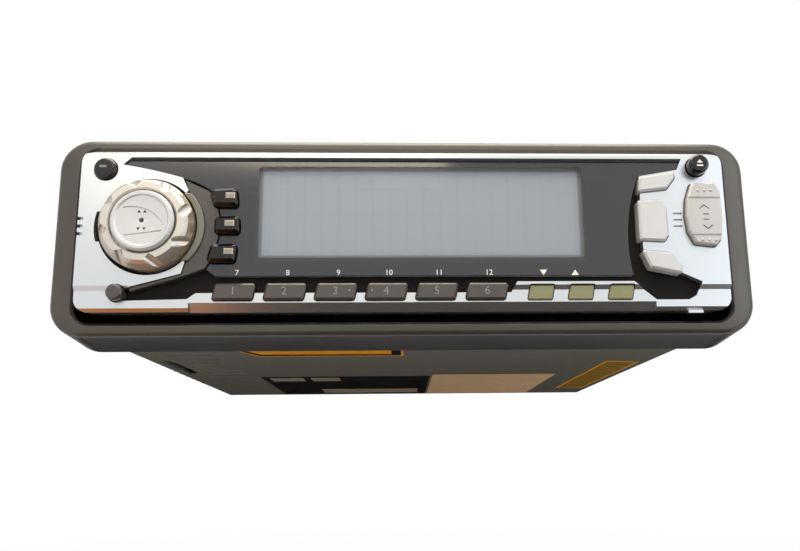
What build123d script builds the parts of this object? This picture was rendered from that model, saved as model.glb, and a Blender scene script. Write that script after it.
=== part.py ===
"""Car CD player: a one-slot dashboard unit with a flip-down, pull-off face and a slot-loading disc drive.

Origin: centre of the chassis underside, in the plane of the trim ring's rear rim, which rests on the dash.
+X is right as the driver sees it, +Y goes into the dash, +Z is up. Sizes are in millimetres.
"""

import os
from math import cos, radians, sin

from build123d import *

os.makedirs("parts", exist_ok=True)

# Chassis that fits the standard dashboard sleeve
chassis_width = 178.0
chassis_height = 50.0
chassis_front = 0.0
chassis_back = 158.0
sheet = 1.0

# Clearances
slide_fit = 0.05
press_fit = 0.02
button_gap = 0.25
panel_gap = 0.12
free_gap = 0.3
nose_clearance = 0.4
cutout_gap = 0.1

# Disc that the drive takes
disc_radius = 60.0

# Nose: the plastic front of the chassis, with the disc slot
nose_front = -3.0
nose_flange = 3.0
nose_depth = 5.0
nose_rib = 3.0
nose_rim = 5.0
nose_pocket_x = 42.0
nose_pocket_width = 76.0
slot_width = 2 * disc_radius + 6.0
slot_height = 5.0
slot_z = 33.0
slot_corner = 1.2
slot_bevel = 0.8

# Face: total outline and the depths of its layers, front to back
face_width = 173.6
face_bottom = 3.0
face_top = 47.4
face_corner = 3.5
face_front = nose_front - 14.0
skin = 2.0
wall = 1.4
skin_back = face_front + skin
plate_thickness = 1.2
plate_back = skin_back + plate_thickness
split_y = face_front + 5.0
glass_thickness = 2.0
board_thickness = 1.2
board_front = plate_back + glass_thickness
board_back = board_front + board_thickness
shell_back = nose_front - 3.5
shell_floor = shell_back - 1.2
lower_step = 0.7
lower_step_z = 8.8
bevel_top_z = 5.3
bevel_depth = 1.7
bevel_left = -57.2
bevel_right = 66.4
vent_place = (73.5, 27.8)
vent_slot = (2.4, 0.55)
vent_pitch = 1.8
vent_depth = 0.7
notch_slot = (2.0, 0.9)
notch_pitch = 2.1
notch_z = 26.0
notch_depth = 1.6
tab_x = 77.0
tab_width = 4.0

# Dark plate behind the skin
plate_left = -79.6
plate_right = 74.6
plate_bottom = 4.8
left_tongue = (-84.9, 20.5, 31.5)
right_tongue = (81.0, 4.8, 12.0)

# Trim ring round the face
ring_overhang = 5.0
ring_lean = 0.3
ring_width = chassis_width + 2 * ring_overhang
ring_front_width = ring_width - 2 * ring_lean
ring_depth = 15.0
ring_front_bottom = -3.2
ring_front_top = chassis_height + 1.2
ring_back_bottom = -4.8
ring_back_top = chassis_height + 2.8
ring_corner = 8.5
ring_edge = 1.4
ring_wall = 1.5
ring_skin = 3.0
hollow_height = 36.0
face_gap = 0.7
face_gap_below = 2.7
opening_width = face_width + 2 * face_gap
opening_bottom = face_bottom - face_gap_below
opening_top = face_top + face_gap
opening_corner = 4.0
opening_bevel = 0.8

# Flip hinge and the holder that turns on it
hinge_y = nose_front - 9.5
hinge_z = 6.6
pin_radius = 1.2
ear_radius = 2.2
ear_thickness = 1.6
ear_outer = face_width / 2
holder_thickness = 2.0
holder_back = nose_front - 0.8
holder_front = holder_back - holder_thickness
holder_bottom = face_bottom + 1.5
holder_top = face_top - 1.4
holder_window = (60.0, 14.0)
holder_window_place = (35.0, 30.0)
pin_head = 0.4
peg_radius = 1.5
peg_length = 1.5
peg_places = [(-72.0, 14.0), (72.0, 14.0), (-72.0, 41.0), (72.0, 41.0)]
contact_half = 16.0
contact_low = 8.0
contact_high = 13.0
contact_count = 12
contact_pad = 0.4
contact_radius = 0.6
contact_reach = 0.3

# Clear space for the hinge ears at the lower corners of the face
ear_fixed_inner = ear_outer - ear_thickness
ear_holder_outer = ear_fixed_inner - free_gap
ear_holder_inner = ear_holder_outer - ear_thickness
ear_clear_x = ear_holder_inner - 0.2
ear_clear_z = hinge_z + ear_radius + 2 * free_gap

# Screws that hold the two halves of the face together
face_half = face_width / 2
face_screw_places = [
    (-face_half + 4.2, 35.4),
    (-face_half + 4.2, 15.5),
    (face_half - 4.0, 15.0),
    (face_half - 3.1, 40.1),
]
face_screw_radius = 0.8
face_screw_bite = 2.0
face_boss_radius = 1.6
face_head_radius = 1.5
face_head_height = 0.9

# Dial
dial_x = -68.3
dial_z = 25.9
dial_radius = 12.4
dial_front = face_front - 4.6
dial_back = skin_back - free_gap
dial_bore = dial_radius - 3.8
dial_shoulder = dial_radius - 1.8
dial_web_front = face_front - 1.4
dial_web_back = dial_web_front + 1.4
dial_skirt = 1.2
hub_radius = 5.0
hub_back = skin_back - 0.4 - free_gap
groove_count = 8
groove_start = 17.0
groove_lean = 38.0
groove_fall = 30.0
groove_radius = 1.4
groove_length = 5.0
groove_middle = dial_radius - 0.7
recess_radius = dial_radius + 0.9
notch_radius = dial_radius + 1.8
notch_angle = 17.0
encoder_width = 12.0
bushing_wall = 0.5
shaft_front = face_front - 1.8
shaft_radius = 3.0
stem_radius = 1.5
select_radius = dial_bore - 0.4
select_front = dial_front - 0.6
select_rim = 1.2
crease_width = 0.3
crease_floor = 0.6
crescent_x = dial_x + 1.8
crescent_radius = dial_radius + 0.5
crescent_half_height = 0.75 * dial_radius

# Buttons
button_travel = 0.5
flange_front = plate_back + 0.2
flange_back = flange_front + 0.7
plunger_end = board_front - button_travel - free_gap
flange_reach = 0.55
plunger_radius = 1.0
cap_rounding = 0.8
wing_reach = 0.5
standby_place = (-face_half + 6.5, face_top - 5.5)
standby_radius = 3.0
standby_rise = 1.1
eject_place = (face_half - 7.3, face_top - 4.5)
eject_radius = 2.7
eject_rise = 3.0
release_place = (-75.8, 7.9)
release_radius = 2.2
release_rise = 1.6
preset_count = 6
preset_first_x = -50.2
preset_pitch = 13.32
preset_width = 10.5
preset_top = 10.3
preset_bottom = 5.85
preset_slant = 1.0
preset_rise = 0.5
mode_count = 3
mode_first_x = 32.8
mode_pitch = 10.75
mode_width = 6.4
mode_top = 9.8
mode_bottom = 5.85
mode_slant = 0.8
mode_sink = 0.3
side_rise = 1.4
source_rise = 1.0
strip_top = 7.9
mode_strip_top = 10.7

# Seek rocker
rocker_axis = (80.6, 29.0)
rocker_rise = 1.6
rocker_corner = 0.8
rocker_block = (7.0, 12.0)
rocker_pin = 0.8
rocker_ridges = (33.5, 23.0)
rocker_dots = [(78.9, 35.6), (80.7, 35.6), (82.5, 35.6), (79.3, 21.6), (81.1, 21.6), (82.9, 21.6)]
dot_radius = 0.45

# Outlines of the shaped buttons, clockwise from the top left corner
side_outlines = {
    "side_button_upper": [(-52.6, 36.0), (-45.4, 36.4), (-44.8, 31.3), (-51.2, 31.3)],
    "side_button_middle": [(-50.8, 28.4), (-44.5, 28.6), (-44.3, 23.8), (-50.9, 23.8)],
    "side_button_lower": [(-51.6, 20.7), (-44.8, 21.0), (-45.4, 15.9), (-52.8, 15.9)],
}
source_outlines = {
    "source_button_top": [(63.4, 39.8), (73.2, 41.4), (73.4, 39.8), (70.8, 36.4), (63.0, 35.5)],
    "source_button_middle": [
        (62.6, 33.1),
        (69.2, 33.3),
        (70.4, 31.4),
        (70.5, 23.1),
        (69.4, 21.6),
        (62.6, 21.9),
    ],
    "source_button_bottom": [(62.9, 19.3), (71.0, 18.3), (73.6, 15.0), (73.5, 12.5), (65.0, 14.3)],
}
rocker_outline = [
    (77.4, 37.7),
    (83.8, 38.0),
    (85.1, 35.5),
    (85.3, 28.5),
    (84.6, 22.0),
    (83.0, 20.2),
    (77.6, 20.8),
    (75.9, 24.2),
    (75.4, 28.5),
    (75.8, 33.0),
]

# Smoked lens and the display behind it
lens_front = face_front + 0.6
lens_top = 45.4
lens_bottom = 12.4
display_left = -38.8
display_right = 47.0
display_bottom = 18.4
display_top = 42.2
glass_margin = 3.0

# Disc drive
base_z = 20.0
base_sheet = 1.2
base_half_width = disc_radius + 7.2
base_front = 14.0
disc_y = base_front + disc_radius + 2.0
base_back = disc_y + disc_radius + 8.0
base_wall_top = 29.0
guide_depth = 14.0
guide_z = 35.6
damper_radius = 5.0
damper_inset = (11.2, 12.0)
damper_places = [
    (side * (base_half_width - damper_inset[0]), y)
    for y in (base_front + damper_inset[1], base_back - damper_inset[1])
    for side in (-1, 1)
]
boss_top = 14.0
boss_radius = 3.4
motor_radius = 11.0
motor_bottom = 12.0
spindle_radius = 1.0
turntable_radius = 15.0
turntable_z = 28.2
cone_top = 30.2
rod_radius = 1.25
rod_z = 24.5
rod_offset = 13.5
rod_left = 8.0
screw_y = disc_y - 21.0
screw_radius = 1.6
screw_pin = 0.8
pickup_x = 24.0
pickup_half = 9.0
roller_y = base_front + 4.0
roller_z = 27.0
roller_radius = 3.0
roller_waist = 2.4
roller_pin = 1.2
roller_half_length = disc_radius - 2.0
arm_pivot_y = base_front + 22.0
arm_pivot_z = 25.0
arm_inner = base_half_width - base_sheet - 3.6
arm_sheet = 1.2
arm_radius = 3.0
clamp_pivot_y = base_back - 4.0
clamp_pivot_z = 39.0
clamp_half_width = 10.0
clamp_z = 37.0
clamp_pin = 1.2
puck_radius = 13.0
puck_hub = 4.5

# Electronics
board_z = 4.0
board_sheet = 1.6
board_half_width = chassis_width / 2 - 4.0
board_y = (chassis_front + 10.0, chassis_back - 6.0)
standoff_radius = 3.0
standoff_x = board_half_width - 5.0
standoff_y = (board_y[0] + 6.0, board_y[1] - 6.0)
standoff_places = [(x, y) for y in standoff_y for x in (-standoff_x, 0.0, standoff_x)]

# Rear connections
stud_place = (0.0, 28.0)
stud_radius = 2.5
stud_length = 14.0
stud_head_radius = 4.5
stud_head = 2.0
nut_radius = 4.2
nut_height = 3.0
antenna_place = (-66.0, 32.0)
antenna_radius = 6.5
antenna_bore = 4.9
antenna_reach = 12.0
antenna_flange = (18.0, 15.0, 1.2)
harness_place = (46.0, 17.0)
harness_width = 34.0
harness_height = 17.0
harness_wall = 1.5
harness_reach = 8.0
output_places = [(-38.0, 15.0), (-24.0, 15.0), (-38.0, 31.0), (-24.0, 31.0)]
output_middle = (sum(x for x, z in output_places) / 4, sum(z for x, z in output_places) / 4)
output_block = (24.0, 26.0)
output_radius = 4.2
output_bore = 1.7
output_reach = 9.0
changer_place = (70.0, 36.0)
changer_radius = 7.2
changer_bore = 5.9
changer_reach = 5.0
panel_screw_pitch = (chassis_width - 18.0, chassis_height - 16.0)
panel_screw_radius = 1.4
panel_screw_head = 2.6

# Side mounting holes and heat sink
side_hole_radius = 2.5
side_hole_y = {-1: (14.0, 36.0), 1: (18.0, 40.0)}
side_hole_z = 25.0
sink_y = (chassis_back - 108.0, chassis_back - 16.0)
sink_z = (4.0, chassis_height - 4.0)
sink_base = 2.5
fin_width = 3.0
short_fins = 6
short_fin = 2.4
long_fins = 6
long_fin = 7.0

# Louvres, cut-out and lug of the chassis, and the ribs of its cover
louvre_count = 7
louvre_pitch = 9.0
louvre_first_y = 35.0
louvre_inset = 17.0
louvre_slot = (16.0, 2.2)
corner_cut_y = (47.0, 84.0)
corner_cut_inset = (2.5, 7.5)
lug_y = 86.0
lug_size = (1.2, 5.0, 2.4)
rib_height = 0.6
rib_inset = 14.0
skirt_inset = 9.0


def facing(y):
    """The upright plane at depth y as the driver sees it, with X to the right and Z up."""
    return Plane.XZ.offset(-y)


def write(builder, label):
    """Name a finished piece and write it to its own file."""
    builder.part.label = label
    export_step(builder.part, f"parts/{label}.step")


def draw_outline(points, rounding=0.0):
    """Fill a closed outline in the sketch that is open, with its corners rounded."""
    with BuildSketch(mode=Mode.PRIVATE) as shape:
        with BuildLine():
            Polyline(*points, close=True)
        make_face()
        if rounding:
            fillet(shape.vertices(), rounding)
    add(shape.sketch)


def draw_face_outline():
    """The outer edge of the face."""
    with Locations((0, (face_top + face_bottom) / 2)):
        RectangleRounded(face_width, face_top - face_bottom, face_corner)


def draw_cavity(inset=wall):
    """The hollow of the face, stepped in where the hinge ears pass its lower corners."""
    with Locations((0, (face_top + face_bottom) / 2)):
        RectangleRounded(face_width - 2 * inset, face_top - face_bottom - 2 * inset, face_corner - wall)
    step_x = ear_clear_x - inset
    step_z = ear_clear_z + inset
    for side in (-1, 1):
        with Locations((side * (step_x + 10), step_z - 10)):
            Rectangle(20, 20, mode=Mode.SUBTRACT)


def draw_lens():
    """The smoked lens: a long window with a pointed sweep over the dial and a bowed right end."""
    with BuildSketch(mode=Mode.PRIVATE) as shape:
        with BuildLine():
            ThreePointArc((-75.9, 43.3), (-68.8, 41.9), (-59.9, 39.6))
            ThreePointArc((-59.9, 39.6), (-56.2, 38.3), (-52.8, 36.4))
            ThreePointArc((-52.8, 36.4), (-49.7, 29.0), (-50.2, 21.2))
            ThreePointArc((-50.2, 21.2), (-51.2, 17.6), (-53.0, 14.3))
            Line((-53.0, 14.3), (-50.6, lens_bottom))
            Line((-50.6, lens_bottom), (60.8, lens_bottom))
            ThreePointArc((60.8, lens_bottom), (60.2, 27.0), (63.5, 40.3))
            Line((63.5, 40.3), (74.2, 42.2))
            Line((74.2, 42.2), (75.6, lens_top))
            Line((75.6, lens_top), (-73.6, lens_top))
            Line((-73.6, lens_top), (-75.9, 43.3))
        make_face()
    add(shape.sketch)


def draw_crescent_panel():
    """The dark panel between the dial and the lens, with its thin tail above the recessed band."""
    with BuildSketch(mode=Mode.PRIVATE) as shape:
        with BuildLine():
            Line((-59.2, 38.9), (-52.9, 36.0))
            ThreePointArc((-52.9, 36.0), (-50.0, 29.0), (-50.5, 21.2))
            ThreePointArc((-50.5, 21.2), (-51.5, 17.7), (-53.3, 14.5))
            Line((-53.3, 14.5), (-59.8, 12.1))
            Line((-59.8, 12.1), (-72.4, 8.4))
            Line((-72.4, 8.4), (-72.4, 9.2))
            Line((-72.4, 9.2), (-59.1, 12.9))
            Line((-59.1, 12.9), (-58.2, 16.3))
            Line((-58.2, 16.3), (-62.0, dial_z))
            Line((-62.0, dial_z), (-58.0, 35.8))
            Line((-58.0, 35.8), (-59.2, 38.9))
        make_face()
        with Locations((dial_x, dial_z)):
            Circle(recess_radius, mode=Mode.SUBTRACT)
        with Locations((crescent_x, dial_z)):
            Circle(crescent_radius + panel_gap, mode=Mode.SUBTRACT)
    add(shape.sketch)


def draw_dial_recess():
    """The round hole for the dial, with the thumb notch on its left."""
    rise = notch_radius * sin(radians(notch_angle))
    reach = notch_radius * cos(radians(notch_angle))
    with BuildSketch(mode=Mode.PRIVATE) as shape:
        with BuildLine():
            ThreePointArc(
                (dial_x - reach, dial_z + rise),
                (dial_x - notch_radius, dial_z),
                (dial_x - reach, dial_z - rise),
            )
            Line((dial_x - reach, dial_z - rise), (dial_x, dial_z - rise))
            Line((dial_x, dial_z - rise), (dial_x, dial_z + rise))
            Line((dial_x, dial_z + rise), (dial_x - reach, dial_z + rise))
        make_face()
        with Locations((dial_x, dial_z)):
            Circle(recess_radius)
    add(shape.sketch)


def draw_window():
    """The one large opening in the silver skin: lens, dial, dark panel, recessed band and right bay."""
    draw_lens()
    draw_dial_recess()
    left_bay = [
        (-59.9, 39.6),
        (-55.5, 39.6),
        (-51.0, 37.0),
        (-49.0, 30.0),
        (-49.0, 12.0),
        (-49.0, strip_top),
        (-55.4, strip_top),
        (-57.6, 6.3),
        (-74.2, 5.9),
        (-74.3, 9.0),
        (-59.3, 13.0),
        (-58.4, 16.2),
        (-60.8, 18.0),
        (-60.8, 33.0),
        (-58.2, 36.0),
    ]
    band = [
        (-50.0, lens_bottom + 0.5),
        (60.6, lens_bottom + 0.5),
        (62.5, 15.0),
        (65.2, 15.0),
        (73.2, 13.2),
        (79.0, 10.6),
        (78.6, 9.3),
        (77.4, 6.9),
        (75.3, 5.8),
        (66.6, 5.8),
        (60.6, mode_strip_top),
        (29.2, mode_strip_top),
        (27.6, strip_top),
        (-50.0, strip_top),
    ]
    right_bay = [
        (59.0, 12.2),
        (65.2, 13.4),
        (64.6, 16.0),
        (63.6, 19.0),
        (63.3, 28.0),
        (63.8, 40.2),
        (59.0, 40.0),
    ]
    for points in (left_bay, band, right_bay):
        draw_outline(points)


def parallelogram(left, width, top, bottom, slant):
    """Corners of a button whose sides lean, clockwise from the top left."""
    return [(left, top), (left + width, top), (left + width - slant, bottom), (left - slant, bottom)]


def preset_outline(index):
    """Corners of one of the six preset buttons."""
    left = preset_first_x + index * preset_pitch
    return parallelogram(left, preset_width, preset_top, preset_bottom, preset_slant)


def mode_outline(index):
    """Corners of one of the three mode buttons."""
    left = mode_first_x + index * mode_pitch
    return parallelogram(left, mode_width, mode_top, mode_bottom, mode_slant)


def shaped_buttons():
    """Outline, corner rounding, front and edge bevel of every shaped button that slides, by name."""
    shapes = {}
    for name, points in side_outlines.items():
        shapes[name] = (points, 1.2, face_front - side_rise, 0.8)
    for index in range(preset_count):
        shapes[f"preset_button_{index + 1}"] = (preset_outline(index), 0.7, face_front - preset_rise, 0.5)
    for index in range(mode_count):
        shapes[f"mode_button_{index + 1}"] = (mode_outline(index), 0.4, face_front + mode_sink, 0.3)
    for name, points in source_outlines.items():
        shapes[name] = (points, 0.6, face_front - source_rise, 0.5)
    return shapes


def round_buttons():
    """Place, radius and front of every round button, by name."""
    return {
        "standby_button": (standby_place, standby_radius, face_front - standby_rise),
        "eject_button": (eject_place, eject_radius, face_front - eject_rise),
        "release_button": (release_place, release_radius, face_front - release_rise),
    }


def draw_button_holes(gap, names=None):
    """The holes that the sliding buttons and the rocker pass through, all of them or those named."""
    for name, (points, rounding, front, bevel) in shaped_buttons().items():
        if names is None or name in names:
            with BuildSketch(mode=Mode.PRIVATE) as hole:
                draw_outline(points, rounding)
                offset(amount=gap)
            add(hole.sketch)
    for name, (place, radius, front) in round_buttons().items():
        if names is None or name in names:
            with Locations(place):
                Circle(radius + gap)
    if names is None or "seek_rocker" in names:
        with BuildSketch(mode=Mode.PRIVATE) as hole:
            draw_outline(rocker_outline, rocker_corner)
            offset(amount=gap + 0.1)
        add(hole.sketch)


# Trim ring: a hollow moulding that frames the face and clips over the nose
with BuildPart() as trim_ring:
    with BuildSketch(facing(0)):
        with Locations((0, (ring_back_top + ring_back_bottom) / 2)):
            RectangleRounded(ring_width, ring_back_top - ring_back_bottom, ring_corner)
    with BuildSketch(facing(-ring_depth)):
        with Locations((0, (ring_front_top + ring_front_bottom) / 2)):
            RectangleRounded(ring_front_width, ring_front_top - ring_front_bottom, ring_corner)
    loft()
    fillet(trim_ring.faces().sort_by(Axis.Y)[0].edges(), ring_edge)
    with BuildSketch(facing(0)):
        with Locations((0, (opening_top + opening_bottom) / 2)):
            RectangleRounded(opening_width, opening_top - opening_bottom, opening_corner)
    extrude(amount=ring_depth, mode=Mode.SUBTRACT)
    chamfer(trim_ring.faces().sort_by(Axis.Y)[0].inner_wires()[0].edges(), opening_bevel)
    with BuildSketch(facing(0)):
        with Locations((0, chassis_height / 2)):
            Rectangle(chassis_width + 2 * free_gap, chassis_height + 2 * free_gap)
    extrude(amount=-nose_front, mode=Mode.SUBTRACT)
    with BuildSketch(facing(nose_front)):
        for side in (-1, 1):
            with Locations((side * (opening_width + ring_front_width) / 4, chassis_height / 2)):
                Rectangle((ring_front_width - opening_width) / 2 - 2 * ring_wall, hollow_height)
    extrude(amount=ring_depth + nose_front - ring_skin, mode=Mode.SUBTRACT)
write(trim_ring, "trim_ring")

# Nose: flange behind the ring, hollow body inside the chassis and the disc slot
with BuildPart() as front_frame:
    with BuildSketch(facing(nose_front + nose_flange)):
        with Locations((0, chassis_height / 2)):
            Rectangle(chassis_width, chassis_height - 2 * nose_clearance)
    extrude(amount=nose_flange)
    with BuildSketch(facing(nose_front + nose_flange + nose_depth)):
        with Locations((0, chassis_height / 2)):
            Rectangle(
                chassis_width - 2 * (sheet + nose_clearance), chassis_height - 2 * (sheet + nose_clearance)
            )
    extrude(amount=nose_depth)
    pocket_low = (nose_rim, slot_z - slot_height / 2 - nose_rib)
    pocket_high = (slot_z + slot_height / 2 + nose_rib, chassis_height - nose_rim)
    with BuildSketch(facing(nose_front + nose_flange + nose_depth)):
        for low, high in (pocket_low, pocket_high):
            for side in (-1, 1):
                with Locations((side * nose_pocket_x, (low + high) / 2)):
                    RectangleRounded(nose_pocket_width, high - low, 1.5)
    extrude(amount=nose_depth, mode=Mode.SUBTRACT)
    with BuildSketch(facing(nose_front + nose_flange + nose_depth)):
        with Locations((0, slot_z)):
            RectangleRounded(slot_width, slot_height, slot_corner)
    extrude(amount=nose_flange + nose_depth, mode=Mode.SUBTRACT)
    chamfer(front_frame.faces().sort_by(Axis.Y)[0].inner_wires()[0].edges(), slot_bevel)
write(front_frame, "front_frame")

# Hinge brackets: an ear on each side of the nose, with the pin that the holder turns on
with BuildPart() as hinge_brackets:
    for start in (-ear_outer, ear_fixed_inner):
        with BuildSketch(Plane.YZ.offset(start)):
            with Locations((hinge_y, hinge_z)):
                Circle(ear_radius)
            with Locations(((hinge_y + nose_front) / 2, hinge_z)):
                Rectangle(nose_front - hinge_y, 2 * ear_radius)
        extrude(amount=ear_thickness)
    for side in (-1, 1):
        with BuildSketch(Plane.YZ.offset(side * ear_holder_inner)):
            with Locations((hinge_y, hinge_z)):
                Circle(pin_radius)
        extrude(amount=side * (ear_outer - ear_holder_inner))
        with BuildSketch(Plane.YZ.offset(side * ear_outer)):
            with Locations((hinge_y, hinge_z)):
                Circle(pin_radius + 0.6)
        extrude(amount=side * pin_head)
write(hinge_brackets, "hinge_brackets")

# Panel holder: the frame that flips down and carries the pull-off face
with BuildPart() as panel_holder:
    with BuildSketch(facing(holder_back)):
        with Locations((0, (holder_top + holder_bottom) / 2)):
            RectangleRounded(2 * ear_holder_outer - ear_thickness, holder_top - holder_bottom, 2.0)
        for side in (-1, 1):
            with Locations((side * holder_window_place[0], holder_window_place[1])):
                RectangleRounded(*holder_window, 2.0, mode=Mode.SUBTRACT)
    extrude(amount=holder_thickness)
    for start in (-ear_holder_outer, ear_holder_inner):
        with BuildSketch(Plane.YZ.offset(start)):
            with Locations((hinge_y, hinge_z)):
                Circle(ear_radius)
            with Locations(((hinge_y + holder_back) / 2, hinge_z)):
                Rectangle(holder_back - hinge_y, 2 * ear_radius)
            with Locations((hinge_y, hinge_z)):
                Circle(pin_radius + slide_fit, mode=Mode.SUBTRACT)
        extrude(amount=ear_thickness)
    with BuildSketch(facing(holder_front)):
        with Locations(*peg_places):
            Circle(peg_radius)
    extrude(amount=peg_length)
    chamfer(panel_holder.faces().filter_by(Plane.XZ).group_by(Axis.Y)[0].edges(), 0.3)
    with BuildSketch(facing(holder_front)):
        with Locations((0, (contact_low + contact_high) / 2)):
            Rectangle(2 * contact_half, contact_high - contact_low)
    extrude(amount=contact_pad)
    with BuildSketch(facing(holder_front - contact_pad)):
        with Locations((0, (contact_low + contact_high) / 2)):
            with GridLocations(2 * contact_half / contact_count, 0, contact_count, 1):
                Circle(contact_radius)
    extrude(amount=contact_reach)
write(panel_holder, "panel_holder")

# Front half of the face: the silver skin with its openings, bevels and slots
with BuildPart() as face_bezel:
    with BuildSketch(facing(split_y)):
        draw_face_outline()
    extrude(amount=split_y - face_front)
    with BuildSketch(Plane.YZ.offset(-face_width / 2)):
        draw_outline(
            [
                (face_front - 0.1, lower_step_z + 1.0),
                (face_front, lower_step_z + 1.0),
                (face_front + lower_step, lower_step_z - 0.2),
                (face_front + lower_step, face_bottom + 0.9),
                (face_front + lower_step + 0.9, face_bottom),
                (face_front - 0.1, face_bottom),
            ]
        )
    extrude(amount=face_width, mode=Mode.SUBTRACT)
    with BuildSketch(Plane.YZ.offset(bevel_left)):
        draw_outline(
            [
                (face_front + lower_step, bevel_top_z),
                (face_front + lower_step + bevel_depth, face_bottom),
                (face_front, face_bottom),
                (face_front, bevel_top_z),
            ]
        )
    extrude(amount=bevel_right - bevel_left, mode=Mode.SUBTRACT)
    with BuildSketch(Plane.YZ.offset(-face_width / 2)):
        draw_outline(
            [(face_front, face_top - 1.1), (face_front + 1.2, face_top), (face_front, face_top)],
        )
    extrude(amount=face_width, mode=Mode.SUBTRACT)
    with BuildSketch(facing(split_y)):
        draw_cavity()
    extrude(amount=split_y - skin_back, mode=Mode.SUBTRACT)
    with BuildSketch(facing(skin_back)):
        draw_window()
        draw_button_holes(button_gap)
    extrude(amount=skin, mode=Mode.SUBTRACT)
    with BuildSketch(facing(split_y)):
        for side in (-1, 1):
            with Locations((side * (ear_clear_x + 5), ear_clear_z - 10)):
                Rectangle(10, 20)
    extrude(amount=split_y - skin_back, mode=Mode.SUBTRACT)
    with BuildSketch(facing(board_front)):
        with Locations(*face_screw_places):
            Circle(face_boss_radius)
    extrude(amount=board_front - skin_back)
    with BuildSketch(facing(board_front)):
        with Locations(*face_screw_places):
            Circle(face_screw_radius + press_fit)
    extrude(amount=face_screw_bite + slide_fit, mode=Mode.SUBTRACT)
    with BuildSketch(facing(face_front + vent_depth)):
        with Locations(vent_place):
            with GridLocations(0, vent_pitch, 1, 3):
                Rectangle(*vent_slot)
    extrude(amount=vent_depth, mode=Mode.SUBTRACT)
    with BuildSketch(facing(face_front + notch_depth)):
        with Locations((-face_half + 0.5, notch_z)):
            with GridLocations(0, notch_pitch, 1, 3):
                RectangleRounded(*notch_slot, 0.4)
    extrude(amount=notch_depth, mode=Mode.SUBTRACT)
    with BuildSketch(facing(face_front + 2.5)):
        with Locations((tab_x, face_bottom - 0.4)):
            Rectangle(tab_width, 0.8)
    extrude(amount=1.6)
write(face_bezel, "face_bezel")

# Dark plate behind the skin: it shows in the recessed band and round the dial, and carries the lens
plate_top = lens_top + 0.6
with BuildPart() as inner_bezel:
    with BuildSketch(facing(plate_back)):
        with Locations(((plate_left + plate_right) / 2, (plate_top + plate_bottom) / 2)):
            Rectangle(plate_right - plate_left, plate_top - plate_bottom)
        for root, (tip, low, high) in ((plate_left, left_tongue), (plate_right, right_tongue)):
            with Locations(((root + tip) / 2, (low + high) / 2)):
                Rectangle(abs(tip - root), high - low)
        with Locations(((display_left + display_right) / 2, (display_bottom + display_top) / 2)):
            Rectangle(display_right - display_left, display_top - display_bottom, mode=Mode.SUBTRACT)
        with Locations((dial_x, dial_z)):
            Circle(shaft_radius + bushing_wall + 0.5, mode=Mode.SUBTRACT)
        with BuildSketch(mode=Mode.PRIVATE) as holes:
            draw_button_holes(button_gap)
        add(holes.sketch, mode=Mode.SUBTRACT)
    extrude(amount=plate_thickness)
write(inner_bezel, "inner_bezel")

# Dark crescent panel right of the dial
side_names = set(side_outlines)
with BuildPart() as dial_surround:
    with BuildSketch(facing(skin_back)):
        draw_crescent_panel()
        with BuildSketch(mode=Mode.PRIVATE) as holes:
            draw_button_holes(button_gap, side_names)
        add(holes.sketch, mode=Mode.SUBTRACT)
    extrude(amount=skin_back - face_front - 0.4)
write(dial_surround, "dial_surround")

# Translucent green crescent that lights the dial's edge
with BuildPart() as dial_lightguide:
    with BuildSketch(facing(skin_back)):
        with Locations((crescent_x, dial_z)):
            Circle(crescent_radius)
        with Locations((dial_x, dial_z)):
            Circle(dial_radius + 0.35, mode=Mode.SUBTRACT)
        with Locations((crescent_x + crescent_radius - 10, dial_z)):
            Rectangle(20, 2 * crescent_half_height, mode=Mode.INTERSECT)
        with Locations((crescent_x - 10, dial_z)):
            Rectangle(20, 40, mode=Mode.SUBTRACT)
    extrude(amount=skin_back - face_front + 0.3)
    fillet(dial_lightguide.faces().sort_by(Axis.Y)[0].edges(), 0.3)
write(dial_lightguide, "dial_lightguide")

# Smoked lens over the display
with BuildPart() as display_lens:
    with BuildSketch(facing(skin_back)):
        with BuildSketch(mode=Mode.PRIVATE) as pane:
            draw_lens()
            offset(amount=-panel_gap)
        add(pane.sketch)
        with BuildSketch(mode=Mode.PRIVATE) as holes:
            draw_button_holes(button_gap, side_names)
        add(holes.sketch, mode=Mode.SUBTRACT)
    extrude(amount=skin_back - lens_front)
    with BuildSketch(Plane.YZ.offset(-face_width / 2)):
        draw_outline(
            [(lens_front, lens_top - panel_gap - 0.9), (lens_front + 0.7, lens_top), (lens_front, lens_top)],
        )
    extrude(amount=face_width, mode=Mode.SUBTRACT)
write(display_lens, "display_lens")

# Display glass, clamped between the dark plate and the board
with BuildPart() as lcd_panel:
    with BuildSketch(facing(board_front)):
        with Locations(((display_left + display_right) / 2, (display_bottom + display_top) / 2)):
            Rectangle(
                display_right - display_left + 2 * glass_margin,
                display_top - display_bottom + 2 * glass_margin,
            )
    extrude(amount=glass_thickness)
    chamfer(lcd_panel.edges().filter_by(Axis.Y), 0.8)
write(lcd_panel, "lcd_panel")

# Circuit board of the face
with BuildPart() as face_board:
    with BuildSketch(facing(board_back)):
        draw_cavity(wall + free_gap)
        with Locations(*face_screw_places):
            Circle(face_screw_radius + slide_fit, mode=Mode.SUBTRACT)
        with Locations((dial_x, dial_z)):
            Circle(stem_radius + free_gap, mode=Mode.SUBTRACT)
    extrude(amount=board_thickness)
write(face_board, "face_board")

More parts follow.
